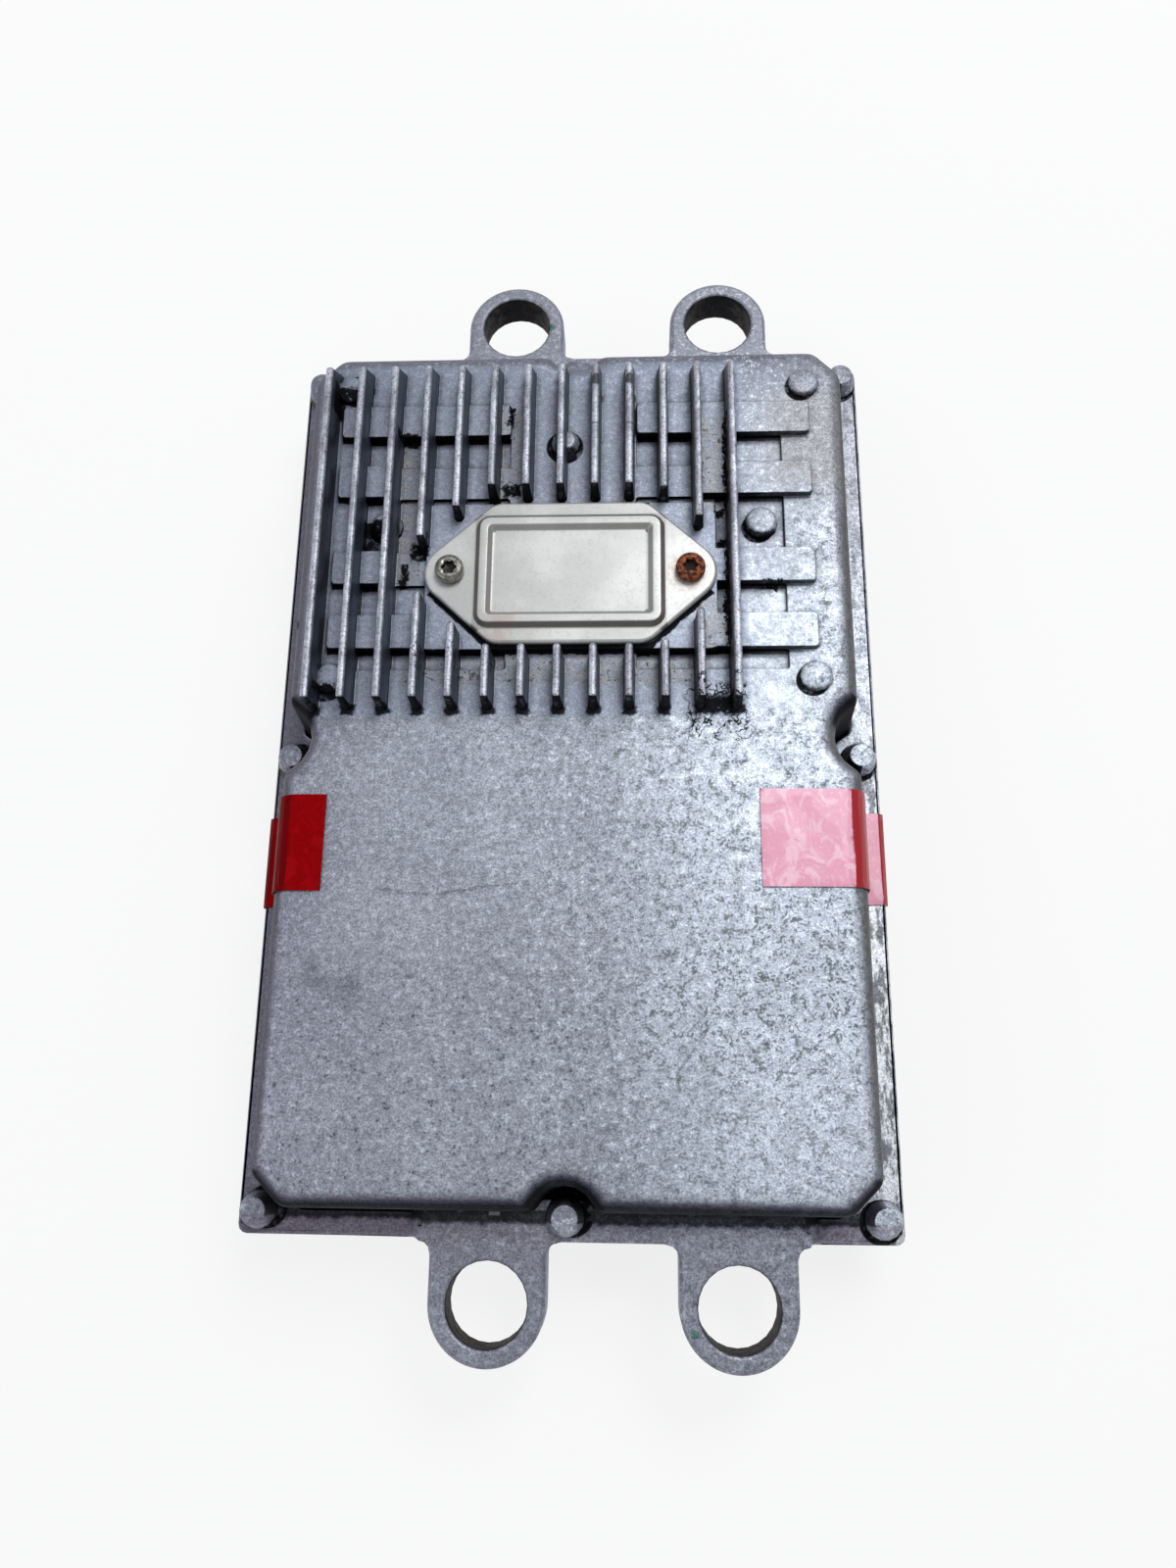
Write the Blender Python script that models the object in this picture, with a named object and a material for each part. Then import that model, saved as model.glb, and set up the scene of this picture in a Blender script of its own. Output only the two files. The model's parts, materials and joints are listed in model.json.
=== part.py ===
"""Fuel injection control module: a finned die-cast housing closed by a cast tray.

Lengths are in metres and +Z is up. X runs across the module and Y along it, from the near end, which is
plain, to the far end, which carries the fins. The origin lies on the surface that the module stands on,
under the middle of its four mounting ears. Points in plan are complex numbers, x + y * 1j.
"""

import cmath
import math

import bpy

MM = 0.001

# Clearances
SEAT_GAP = 0.3 * MM
HOLE_CLEARANCE = 0.35 * MM
RUN_IN = 1.0 * MM

# Tray under the housing
TRAY_DEPTH = 19.9 * MM
TRAY_RIM = 2.7 * MM
TRAY_FLOOR = 2.5 * MM
TRAY_WALL = 3.8 * MM
TRAY_DRAFT = math.radians(5.0)
TRAY_FOOT_RADIUS = 2.5 * MM

# Rubber seal in a groove of the tray's rim
SEAL_WIDTH = 1.8 * MM
SEAL_HEIGHT = 1.5 * MM
SEAL_LIP = 1.0 * MM

# Flange of the housing
FLANGE_WIDTH = 160.0 * MM
FLANGE_LENGTH = 238.7 * MM
FLANGE_THICKNESS = 2.8 * MM
FLANGE_CORNER_RADIUS = 2.2 * MM
FLANGE_EDGE_RADIUS = 0.7 * MM

# Mounting ears and the raised strips that they grow from
EAR_SPACING_X = 58.2 * MM
EAR_OFFSET_X = 11.0 * MM
EAR_REACH_NEAR = 13.7 * MM
EAR_REACH_FAR = 11.0 * MM
EAR_RADIUS = 13.7 * MM
EAR_BORE_RADIUS = 9.5 * MM
EAR_BORE_CHAMFER = 0.6 * MM
EAR_RISE = 7.2 * MM
EAR_ROOT_RADIUS = 3.0 * MM
EAR_EDGE_RADIUS = 0.9 * MM
STRIP_REACH = 15.5 * MM
STRIP_RAMP = 4.0 * MM
STRIP_SETBACK = 0.15 * MM

# Raised body of the housing
BODY_HEIGHT = 23.8 * MM
BODY_MARGIN_SIDE = 7.0 * MM
BODY_MARGIN_NEAR = 6.3 * MM
BODY_MARGIN_FAR = 8.0 * MM
BODY_DRAFT = math.radians(4.0)
BODY_FILLET = 5.5 * MM
BODY_FOOT_FLARE = 0.8 * MM
CORNER_CHAMFER = 8.0 * MM
CORNER_RADIUS = 4.0 * MM
NOTCH_RADIUS_SIDE = 8.0 * MM
NOTCH_RADIUS_END = 6.4 * MM
NOTCH_BLEND = 3.0 * MM
HOUSING_WALL = 3.2 * MM
HOUSING_ROOF = 3.2 * MM

# Screws that hold the tray, and the blind bosses over them
SCREW_EDGE_X = 5.15 * MM
SCREW_EDGE_Y = 5.7 * MM
BOSS_FOOT_RADIUS = 4.7 * MM
BOSS_TOP_RADIUS = 3.1 * MM
BOSS_HEIGHT = 5.6 * MM
TRAY_SCREW_RADIUS = 1.9 * MM
TRAY_SCREW_LENGTH = 9.0 * MM
TRAY_SCREW_HEAD_RADIUS = 3.5 * MM
TRAY_SCREW_HEAD_HEIGHT = 2.4 * MM
BLIND_END_GAP = 0.6 * MM
BOSS_SHOULDER = 0.72
HEAD_SHOULDER = 0.55
HEAD_CROWN = 0.8
RECESS_REACH = 0.42
RECESS_TAPER = 0.9
RECESS_FLOOR = 0.4
RECESS_LOBES = 6
RECESS_LOBE_DEPTH = 0.13

# Cooling fins
FIN_PITCH = 8.8 * MM
FIN_HEIGHT = 9.2 * MM
FIN_TOP_WIDTH = 1.8 * MM
FIN_DRAFT = math.radians(3.0)
FIN_LENGTH = 97.4 * MM
FIN_FAR_MARGIN = 8.1 * MM
FIN_FAR_SLOPE = 4.2 * MM
FIN_NEAR_SLOPE = 0.3 * MM
FIN_LEFT_MARGIN = 8.5 * MM
FIN_RIGHT_MARGIN = 31.9 * MM
FIN_EDGE = 0.45 * MM
FIN_END_ROUNDING = 0.6

# Stepped relief between the fins: raised bars with sunk panels between them
BAR_RISE = 1.7 * MM
BAR_WIDTH = 9.2 * MM
BAR_END_MARGIN = 11.1 * MM
BAR_CORNER_RADIUS = 1.0 * MM
SHORT_BAR_LENGTH = 15.0 * MM
FAR_ROW_MARGIN = 11.45 * MM
NEAR_ROW_MARGIN = 16.15 * MM
MIDDLE_GAP_SHARE = 0.473
PANEL_SINK = 1.2 * MM
PANEL_END_MARGIN = 18.5 * MM
BAY_HALF_WIDTH = 16.6 * MM
RELIEF_DRAFT = 0.25 * MM
LAST_PANEL_DEPTH = 5.3 * MM

# Domed moulding marks on the top face
DOME_FOOT_RADIUS = 4.2 * MM
DOME_TOP_RADIUS = 2.4 * MM
DOME_HEIGHT = 2.8 * MM
DOME_SHOULDER = 0.8
BAY_DOME_X = -2.1 * MM

# Access cover, its gasket and its two screws
COVER_FROM_FIN_END = 36.0 * MM
COVER_OFFSET_X = -0.3 * MM
COVER_HALF_HEIGHT = 19.5 * MM
COVER_FLAT_HALF = 20.0 * MM
COVER_SLANT = math.radians(43.0)
COVER_TIP_RADIUS = 8.0 * MM
COVER_CORNER_RADIUS = 6.0 * MM
COVER_SHEET = 0.9 * MM
COVER_RIM_RADIUS = 0.8 * MM
COVER_SCREW_SPACING = 60.8 * MM
RIDGE_HALF_X = 24.0 * MM
RIDGE_HALF_Y = 15.5 * MM
RIDGE_WIDTH = 4.1 * MM
RIDGE_RISE = 1.5 * MM
RIDGE_SLOPE = 1.0 * MM
RIDGE_CORNER_RADIUS = 3.6 * MM
GASKET_THICKNESS = 0.8 * MM
GASKET_RING = 3.0 * MM
SEAT_MARGIN = 0.8 * MM
FIN_COVER_GAP = 1.9 * MM
WINDOW_HALF_X = 18.0 * MM
WINDOW_HALF_Y = 12.0 * MM
WINDOW_RADIUS = 3.0 * MM
COVER_SCREW_RADIUS = 1.9 * MM
COVER_SCREW_LENGTH = 7.5 * MM
COVER_SCREW_HEAD_RADIUS = 3.7 * MM
COVER_SCREW_HEAD_HEIGHT = 2.6 * MM
PILLAR_WALL = 2.2 * MM

# Connector header in the tray, with three mouths that face down
HEADER_FROM_NEAR_WALL = 56.7 * MM
MOUTH_PITCH = 32.0 * MM
MOUTH_HALF_X = 14.0 * MM
MOUTH_HALF_Y = 9.5 * MM
MOUTH_RADIUS = 2.5 * MM
HEADER_WALL = 2.0 * MM
HEADER_RECESS = 0.5 * MM
HEADER_BODY_HEIGHT = 15.0 * MM
HEADER_CEILING = 2.0 * MM
HEADER_FLANGE_REACH = 4.0 * MM
HEADER_FLANGE_THICKNESS = 2.5 * MM
HEADER_SEAL_THICKNESS = 1.0 * MM
WINDOW_LEDGE = 2.0 * MM
WAFER_THICKNESS = 1.8 * MM
PIN_COLUMNS = 6
PIN_PITCH = 3.5 * MM
PIN_ROW_SPACING = 7.0 * MM
PIN_WIDTH = 1.0 * MM
PIN_LENGTH = 5.0 * MM
PIN_TIP = 0.4

# Circuit boards and what stands on them
BOARD_THICKNESS = 1.6 * MM
BOARD_SIDE_CLEARANCE = 7.5 * MM
BOARD_CORNER_RADIUS = 4.0 * MM
LOGIC_BOARD_NEAR_MARGIN = 13.7 * MM
POWER_BOARD_FAR_MARGIN = 10.7 * MM
POWER_BOARD_LENGTH = 94.0 * MM
BOARD_LAP = 28.0 * MM
BOARD_POST_INSET = 6.5 * MM
BOARD_POST_RADIUS = 3.6 * MM
POWER_BOARD_DROP = 6.6 * MM
BOARD_SCREW_RADIUS = 1.4 * MM
BOARD_SCREW_LENGTH = 5.0 * MM
BOARD_SCREW_HEAD_RADIUS = 2.8 * MM
BOARD_SCREW_HEAD_HEIGHT = 2.0 * MM
TRANSISTOR_COUNT = 4
TRANSISTOR_PITCH = 24.0 * MM
TRANSISTOR_HALF_X = 8.0 * MM
TRANSISTOR_HALF_Y = 10.0 * MM
TRANSISTOR_THICKNESS = 4.6 * MM
TRANSISTOR_FROM_EDGE = 20.0 * MM
LEG_WIDTH = 1.2 * MM
LEG_PITCH = 5.0 * MM
CAPACITOR_COUNT = 4
CAPACITOR_RADIUS = 6.0 * MM
CAPACITOR_CRIMP = 0.7 * MM
CAPACITOR_LENGTH = 22.0 * MM
CAPACITOR_PITCH = 15.0 * MM
CAPACITOR_FROM_EDGE = 44.0 * MM
CHOKE_HALF = 11.0 * MM
CHOKE_HEIGHT = 11.0 * MM
CHOKE_EASE = 1.5 * MM
CHOKE_SPACING = 52.0 * MM
CHOKE_FROM_EDGE = 70.0 * MM
CHIP_HALF = 12.0 * MM
CHIP_THICKNESS = 2.2 * MM
CHIP_SPACING = 48.0 * MM
CHIP_FROM_LAP = 50.0 * MM
TERMINAL_HALF_X = 15.0 * MM
TERMINAL_HALF_Y = 4.5 * MM
TERMINAL_FROM_EDGE = 14.0 * MM
TERMINAL_STEP = 0.9 * MM

# Sealing tapes over the two long edges
TAPE_WIDTH = 23.9 * MM
TAPE_THICKNESS = 0.25 * MM
TAPE_TURN_DOWN = 1.4 * MM
RIGHT_TAPE_ON_TOP = 26.8 * MM
RIGHT_TAPE_FROM_MIDDLE = -25.0 * MM
LEFT_TAPE_ON_TOP = 13.9 * MM
LEFT_TAPE_FROM_MIDDLE = -26.5 * MM

# Heights that follow from the sizes above
PARTING_Z = TRAY_DEPTH + SEAT_GAP
FLANGE_TOP = PARTING_Z + FLANGE_THICKNESS
BODY_TOP = FLANGE_TOP + BODY_HEIGHT
EAR_TOP = FLANGE_TOP + EAR_RISE
FIN_TOP = BODY_TOP + FIN_HEIGHT
BAR_TOP = BODY_TOP + BAR_RISE
ROOF_UNDER = BODY_TOP - HOUSING_ROOF
RIM_UNDER = TRAY_DEPTH - TRAY_RIM

# Places in plan that follow from them
FLANGE_SHIFT_Y = (EAR_REACH_NEAR - EAR_REACH_FAR) / 2
FLANGE_RIGHT = FLANGE_WIDTH / 2
FLANGE_NEAR = FLANGE_SHIFT_Y - FLANGE_LENGTH / 2
FLANGE_FAR = FLANGE_SHIFT_Y + FLANGE_LENGTH / 2
BODY_RIGHT = FLANGE_RIGHT - BODY_MARGIN_SIDE
BODY_NEAR = FLANGE_NEAR + BODY_MARGIN_NEAR
BODY_FAR = FLANGE_FAR - BODY_MARGIN_FAR
SCREW_X = FLANGE_RIGHT - SCREW_EDGE_X
SCREW_NEAR = FLANGE_NEAR + SCREW_EDGE_Y
SCREW_FAR = FLANGE_FAR - SCREW_EDGE_Y
FIN_FOOT_FAR = BODY_FAR - FIN_FAR_MARGIN
FIN_FOOT_NEAR = FIN_FOOT_FAR - FIN_LENGTH
COVER_CENTRE = complex(COVER_OFFSET_X, FIN_FOOT_NEAR + COVER_FROM_FIN_END)
HEADER_Y = BODY_NEAR + HEADER_FROM_NEAR_WALL

# Facets round a turned form
HOLE_SIDES = 8
DOME_SIDES = 12
BOSS_SIDES = 14
BORE_SIDES = 24
TRAY_SCREW_SIDES = 12
COVER_SCREW_SIDES = 18
COVER_HOLE_SIDES = 12
SQUARE = (-1 - 1j, 1 - 1j, 1 + 1j, -1 + 1j)

QUARTER = math.pi / 2
HALF_TURN = math.pi
FULL_TURN = 2 * math.pi
ROUND_MIDDLE = 1 - math.sqrt(0.5)


# Plan outlines

def arc(centre, radius, start, end, steps):
    """Points along an arc, both ends included."""
    return [centre + cmath.rect(radius, start + (end - start) * i / steps) for i in range(steps + 1)]


def circle(centre, radius, sides):
    """A regular outline round a centre, counterclockwise."""
    return arc(centre, radius, 0, FULL_TURN, sides)[:-1]


def rounded_rectangle(centre, half_x, half_y, radius, steps=3):
    """A rectangle with round corners, counterclockwise from its near right corner."""
    points = []
    for corner in range(4):
        side_x = half_x if corner < 2 else -half_x
        side_y = half_y if corner in (1, 2) else -half_y
        middle = complex(side_x - math.copysign(radius, side_x), side_y - math.copysign(radius, side_y))
        start = (corner - 1) * QUARTER
        points += arc(centre + middle, radius, start, start + QUARTER, steps)
    return points


def notch(screw, outward, wall_distance, radius, steps):
    """The stretch of a wall that bends inwards round a screw and back again."""
    blend = NOTCH_BLEND
    along = math.sqrt((radius + blend) ** 2 - (wall_distance + blend) ** 2)
    swing = math.atan2(along, wall_distance + blend)
    facing = cmath.phase(outward)
    tangent = outward * 1j
    inner = screw - outward * (wall_distance + blend)
    blend_steps = steps // 2
    points = arc(inner - tangent * along, blend, facing, facing + swing, blend_steps)
    points += arc(screw, radius, facing + swing + HALF_TURN, facing - swing + HALF_TURN, steps)[1:-1]
    points += arc(inner + tangent * along, blend, facing - swing, facing, blend_steps)
    return points


def chamfered_corner(corner, outward, chamfer, radius, steps):
    """A 45 degree chamfer between two walls, with both of its ends rounded."""
    forward = outward * 1j
    tangent_length = radius * math.tan(math.pi / 8)
    facing = cmath.phase(outward)
    first = corner - forward * (chamfer + tangent_length) - outward * radius
    second = corner - outward * (chamfer + tangent_length) - forward * radius
    middle = facing + math.pi / 4
    return arc(first, radius, facing, middle, steps) + arc(second, radius, middle, facing + QUARTER, steps)


def body_outline(inset, steps=6):
    """Plan of the raised body, moved inwards: chamfered corners, and a notch at each middle screw."""
    right = BODY_RIGHT - inset
    near = BODY_NEAR + inset
    far = BODY_FAR - inset
    corners = [complex(right, near), complex(right, far), complex(-right, far), complex(-right, near)]
    middle_y = FLANGE_SHIFT_Y
    screws = [
        complex(0, SCREW_NEAR),
        complex(SCREW_X, middle_y),
        complex(0, SCREW_FAR),
        complex(-SCREW_X, middle_y),
    ]
    chamfer = CORNER_CHAMFER - (2 - math.sqrt(2)) * inset
    corner_steps = steps // 2
    points = []
    for side in range(4):
        outward = -1j * 1j ** side
        radius = NOTCH_RADIUS_SIDE if side % 2 else NOTCH_RADIUS_END
        wall_distance = ((screws[side] - corners[side]) * outward.conjugate()).real
        points += notch(screws[side], outward, wall_distance, radius + inset, steps)
        points += chamfered_corner(corners[side], outward, chamfer, CORNER_RADIUS, corner_steps)
    return points


def cover_outline(inset, steps=4):
    """The long six-sided plan of the access cover, moved inwards."""
    sine = math.sin(COVER_SLANT)
    flat = COVER_FLAT_HALF - inset * math.tan(COVER_SLANT / 2)
    height = COVER_HALF_HEIGHT - inset
    tip_radius = COVER_TIP_RADIUS - inset
    corner_radius = COVER_CORNER_RADIUS - inset
    tip_centre = flat + height / math.tan(COVER_SLANT) - tip_radius / sine
    corner_x = flat - corner_radius * math.tan((QUARTER - COVER_SLANT) / 2)
    swing = QUARTER - COVER_SLANT
    corner_y = height - corner_radius
    upper_right = arc(complex(corner_x, corner_y), corner_radius, swing, QUARTER, steps)
    right_tip = arc(complex(tip_centre, 0), tip_radius, -swing, swing, 2 * steps)
    lower_right = [point.conjugate() for point in reversed(upper_right)]
    half = lower_right + right_tip + upper_right
    return [COVER_CENTRE + point for point in half] + [COVER_CENTRE - point for point in half]


def ear_outline(centre, reach, facing, inset, steps=10):
    """Plan of one ear: a round end on a straight neck that flares into the flange's edge."""
    radius = EAR_RADIUS - inset
    root = EAR_ROOT_RADIUS + inset
    side = radius + root
    depth = reach + BODY_MARGIN_NEAR / 2
    root_steps = 3
    points = [complex(-side, depth)]
    points += arc(complex(-side, reach - root), root, QUARTER, 0, root_steps)
    points += arc(0, radius, HALF_TURN, FULL_TURN, steps)
    points += arc(complex(side, reach - root), root, HALF_TURN, QUARTER, root_steps)
    points += [complex(side, depth)]
    return [centre + facing * point for point in points]


def star_outline(centre, radius, sides):
    """Plan of a six-lobed driver recess."""
    points = []
    for i in range(sides):
        angle = FULL_TURN * i / sides
        reach = radius * (1 + RECESS_LOBE_DEPTH * math.cos(RECESS_LOBES * angle))
        points.append(centre + cmath.rect(reach, angle))
    return points


# Solids from rings of points

def ring(outline, z):
    """An outline in plan, lifted to a height."""
    return [(point.real, point.imag, z) for point in outline]


def loft_faces(rings, closed=False):
    """Vertices and faces of a skin over rings with equal point counts, listed from the bottom up."""
    count = len(rings[0])
    vertices = [point for points in rings for point in points]
    faces = []
    spans = len(rings) if closed else len(rings) - 1
    for i in range(spans):
        low = i * count
        high = (i + 1) % len(rings) * count
        for j in range(count):
            k = (j + 1) % count
            faces.append((low + j, low + k, high + k, high + j))
    if not closed:
        faces.append(tuple(reversed(range(count))))
        faces.append(tuple(range(len(vertices) - count, len(vertices))))
    return vertices, faces


def mesh_from(name, lofts):
    """One mesh that holds a list of skins."""
    vertices = []
    faces = []
    for new_vertices, new_faces in lofts:
        start = len(vertices)
        vertices += new_vertices
        faces += [tuple(start + index for index in face) for face in new_faces]
    mesh = bpy.data.meshes.new(name)
    mesh.from_pydata(vertices, [], faces)
    mesh.validate()
    return mesh


def prism(outline, low, high):
    """A straight extrusion of a plan outline."""
    return loft_faces([ring(outline, low), ring(outline, high)])


def turned(centre, profile, sides=20):
    """A round solid from pairs of radius and height, listed from the bottom up."""
    return loft_faces([ring(circle(centre, radius, sides), z) for radius, z in profile])


def extrude_along_y(section, near, far):
    """A closed section of x and z pairs, listed clockwise as seen from the near end, run along Y."""
    return loft_faces([[(x, near, z) for x, z in section], [(x, far, z) for x, z in section]])


# Objects, materials and joins

def clear_scene():
    for item in list(bpy.data.objects):
        bpy.data.objects.remove(item, do_unlink=True)


def finish(name, colour, roughness, metallic):
    """A plain surface finish."""
    material = bpy.data.materials.new(name)
    material.use_nodes = True
    shader = material.node_tree.nodes["Principled BSDF"]
    shader.inputs["Base Color"].default_value = (*colour, 1.0)
    shader.inputs["Roughness"].default_value = roughness
    shader.inputs["Metallic"].default_value = metallic
    return material


def piece(name, lofts, material):
    """One named sub-part under the assembly's empty."""
    mesh = mesh_from(name, lofts)
    mesh.materials.append(material)
    mesh.shade_smooth()
    mesh.set_sharp_from_angle(angle=math.radians(35))
    made = bpy.data.objects.new(name, mesh)
    made.parent = ASSEMBLY
    bpy.context.collection.objects.link(made)
    return made


def join(target, operation, label, lofts):
    """A Boolean of a hidden helper with a piece."""
    helper = bpy.data.objects.new(target.name + "_" + label, mesh_from(label, lofts))
    helper.parent = ASSEMBLY
    helper.hide_render = True
    helper.display_type = "WIRE"
    bpy.context.collection.objects.link(helper)
    modifier = target.modifiers.new(label, "BOOLEAN")
    modifier.operation = operation
    modifier.solver = "EXACT"
    modifier.object = helper


def add(target, label, lofts):
    join(target, "UNION", label, lofts)


def cut(target, label, lofts):
    join(target, "DIFFERENCE", label, lofts)


# Places shared by several pieces

def tray_screw_places():
    """Plan centres of the eight screws between tray and housing."""
    places = []
    for y in (SCREW_NEAR, FLANGE_SHIFT_Y, SCREW_FAR):
        for x in (-SCREW_X, 0, SCREW_X):
            if x or y != FLANGE_SHIFT_Y:
                places.append(complex(x, y))
    return places


def cover_screw_places():
    half = COVER_SCREW_SPACING / 2
    return {"left": COVER_CENTRE - half, "right": COVER_CENTRE + half}


def ear_places():
    """Each ear's centre, its distance from the flange, and which way it faces."""
    near = FLANGE_NEAR - EAR_REACH_NEAR
    far = FLANGE_FAR + EAR_REACH_FAR
    places = []
    for side in (-1, 1):
        x = EAR_OFFSET_X + side * EAR_SPACING_X / 2
        places.append((complex(x, near), EAR_REACH_NEAR, 1))
        places.append((complex(x, far), EAR_REACH_FAR, -1))
    return places


def board_half_width():
    return BODY_RIGHT - BOARD_SIDE_CLEARANCE - BODY_MARGIN_SIDE / 2


def power_board_span():
    far = BODY_FAR - POWER_BOARD_FAR_MARGIN
    return far - POWER_BOARD_LENGTH, far


def logic_board_span():
    return BODY_NEAR + LOGIC_BOARD_NEAR_MARGIN, power_board_span()[0] + BOARD_LAP


def board_post_places(span):
    """Plan centres of the four posts at the corners of a board."""
    x = board_half_width() - BOARD_POST_INSET
    near, far = span
    rows = (near + BOARD_POST_INSET, far - BOARD_POST_INSET)
    return [complex(side * x, y) for y in rows for side in (-1, 1)]


HEADER_TOP = HEADER_RECESS + HEADER_BODY_HEIGHT
LOGIC_BOARD_Z = HEADER_TOP + SEAT_GAP
POWER_BOARD_TOP = ROOF_UNDER - POWER_BOARD_DROP
POWER_BOARD_Z = POWER_BOARD_TOP - BOARD_THICKNESS
COVER_TOP = BAR_TOP + 2 * SEAT_GAP + GASKET_THICKNESS + COVER_SHEET


# Cast housing

def body_skin():
    """The raised body: drafted walls that flare at the foot and roll over into the top face."""
    fillet_base = BODY_TOP - BODY_FILLET * (1 - math.sin(BODY_DRAFT))
    rings = [ring(body_outline(-BODY_FOOT_FLARE), FLANGE_TOP - FLANGE_THICKNESS / 2)]
    rings.append(ring(body_outline(-BODY_FOOT_FLARE), FLANGE_TOP))
    rings.append(ring(body_outline(0), FLANGE_TOP + BODY_FOOT_FLARE))
    wall_inset = (fillet_base - FLANGE_TOP) * math.tan(BODY_DRAFT)
    centre_inset = wall_inset + BODY_FILLET * math.cos(BODY_DRAFT)
    fillet_steps = 4
    for i in range(fillet_steps + 1):
        angle = BODY_DRAFT + (QUARTER - BODY_DRAFT) * i / fillet_steps
        inset = centre_inset - BODY_FILLET * math.cos(angle)
        rings.append(ring(body_outline(inset), BODY_TOP - BODY_FILLET + BODY_FILLET * math.sin(angle)))
    return loft_faces(rings)


def flange_skin():
    """The flat flange with its upper edge eased."""
    edge = FLANGE_EDGE_RADIUS
    rings = []
    for inset, z in ((0, PARTING_Z), (0, FLANGE_TOP - edge), (edge, FLANGE_TOP)):
        half_x = FLANGE_RIGHT - inset
        half_y = FLANGE_LENGTH / 2 - inset
        outline = rounded_rectangle(FLANGE_SHIFT_Y * 1j, half_x, half_y, FLANGE_CORNER_RADIUS)
        rings.append(ring(outline, z))
    return loft_faces(rings)


def ear_skins():
    skins = []
    for centre, reach, facing in ear_places():
        rings = []
        for inset, z in ((0, PARTING_Z), (0, EAR_TOP - EAR_EDGE_RADIUS), (EAR_EDGE_RADIUS, EAR_TOP)):
            rings.append(ring(ear_outline(centre, reach, facing, inset), z))
        skins.append(loft_faces(rings))
    return skins


def strip_skins():
    """The raised strip at each end that carries a pair of ears, with a ramp down to the flange."""
    left = EAR_OFFSET_X - EAR_SPACING_X / 2 - STRIP_REACH
    right = EAR_OFFSET_X + EAR_SPACING_X / 2 + STRIP_REACH
    under = FLANGE_TOP - FLANGE_THICKNESS / 2
    run = STRIP_RAMP * (EAR_TOP - under) / EAR_RISE
    section = [(left - run, under), (left, EAR_TOP), (right, EAR_TOP), (right + run, under)]
    near = (FLANGE_NEAR + STRIP_SETBACK, BODY_NEAR + HOUSING_WALL)
    far = (BODY_FAR - HOUSING_WALL, FLANGE_FAR - STRIP_SETBACK)
    return [extrude_along_y(section, *near), extrude_along_y(section, *far)]


def tapered_block(x0, x1, y0, y1, foot, top):
    """A low block of the relief, with round corners and drafted sides."""
    centre = complex(x0 + x1, y0 + y1) / 2
    rings = []
    for grow, z in ((RELIEF_DRAFT, foot), (0, top)):
        half_x = (x1 - x0) / 2 + grow
        half_y = (y1 - y0) / 2 + grow
        rings.append(ring(rounded_rectangle(centre, half_x, half_y, BAR_CORNER_RADIUS, 2), z))
    return loft_faces(rings)


def fin_places():
    """X of each fin, from the left."""
    first = -BODY_RIGHT + FIN_LEFT_MARGIN
    last = BODY_RIGHT - FIN_RIGHT_MARGIN
    count = int(round((last - first) / FIN_PITCH)) + 1
    return [first + FIN_PITCH * i for i in range(count)]


def cover_tip():
    """How far the access cover reaches from its middle along X."""
    return max(abs(point.real - COVER_OFFSET_X) for point in cover_outline(0))


def cover_seat():
    """Corners of the raised seat under the access cover."""
    tip = cover_tip()
    half_y = COVER_HALF_HEIGHT + SEAT_MARGIN
    near = COVER_CENTRE.imag - half_y
    far = COVER_CENTRE.imag + half_y
    return COVER_OFFSET_X - tip, COVER_OFFSET_X + tip, near, far


def row_edges():
    """Low and high Y of the four bars, from the far end, with the widest gap in the middle."""
    high = FIN_FOOT_FAR - FAR_ROW_MARGIN
    low = FIN_FOOT_NEAR + NEAR_ROW_MARGIN
    room = high - low - 4 * BAR_WIDTH
    step = BAR_WIDTH + room * (1 - MIDDLE_GAP_SHARE) / 2
    far_rows = [(high - BAR_WIDTH, high), (high - step - BAR_WIDTH, high - step)]
    near_rows = [(low + step, low + step + BAR_WIDTH), (low, low + BAR_WIDTH)]
    return far_rows + near_rows


def relief_bars():
    """Raised bars, the link between the far two, and the seat of the access cover."""
    end = BODY_RIGHT - BAR_END_MARGIN
    fins = fin_places()
    seat_left, seat_right, seat_near, seat_far = cover_seat()
    foot = BODY_TOP - PANEL_SINK - RUN_IN
    rows = row_edges()
    spans = [
        (-end, -BAY_HALF_WIDTH, rows[0]),
        (BAY_HALF_WIDTH, end, rows[0]),
        (-end, -end + SHORT_BAR_LENGTH, rows[1]),
        (seat_right - RUN_IN, end, rows[1]),
        (-end, -end + SHORT_BAR_LENGTH, rows[2]),
        (seat_right - RUN_IN, end, rows[2]),
        (-end, end, rows[3]),
    ]
    blocks = [tapered_block(x0, x1, y0, y1, foot, BAR_TOP) for x0, x1, (y0, y1) in spans]
    link = tapered_block(fins[-2], fins[-1], rows[1][0], rows[0][0] + RUN_IN, foot, BAR_TOP)
    seat = tapered_block(seat_left, seat_right, seat_near, seat_far, foot, BAR_TOP)
    return blocks, link, seat


def relief_panels():
    """Sunk panels between the bars, each shorter than the bars."""
    end = BODY_RIGHT - PANEL_END_MARGIN
    rows = row_edges()
    floor = BODY_TOP - PANEL_SINK
    over = BODY_TOP + RUN_IN
    bands = [
        (rows[1][1], rows[0][0]),
        (rows[2][1], rows[1][0]),
        (rows[3][1], rows[2][0]),
        (rows[3][0] - LAST_PANEL_DEPTH, rows[3][0]),
    ]
    panels = []
    for low, high in bands:
        for side in (-1, 1):
            x0, x1 = sorted((side * BAY_HALF_WIDTH, side * end))
            centre = complex(x0 + x1, low + high) / 2
            half_x = (x1 - x0) / 2
            half_y = (high - low) / 2
            outline = rounded_rectangle(centre, half_x, half_y, BAR_CORNER_RADIUS / 2, 1)
            panels.append(prism(outline, floor, over))
    return panels


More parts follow.
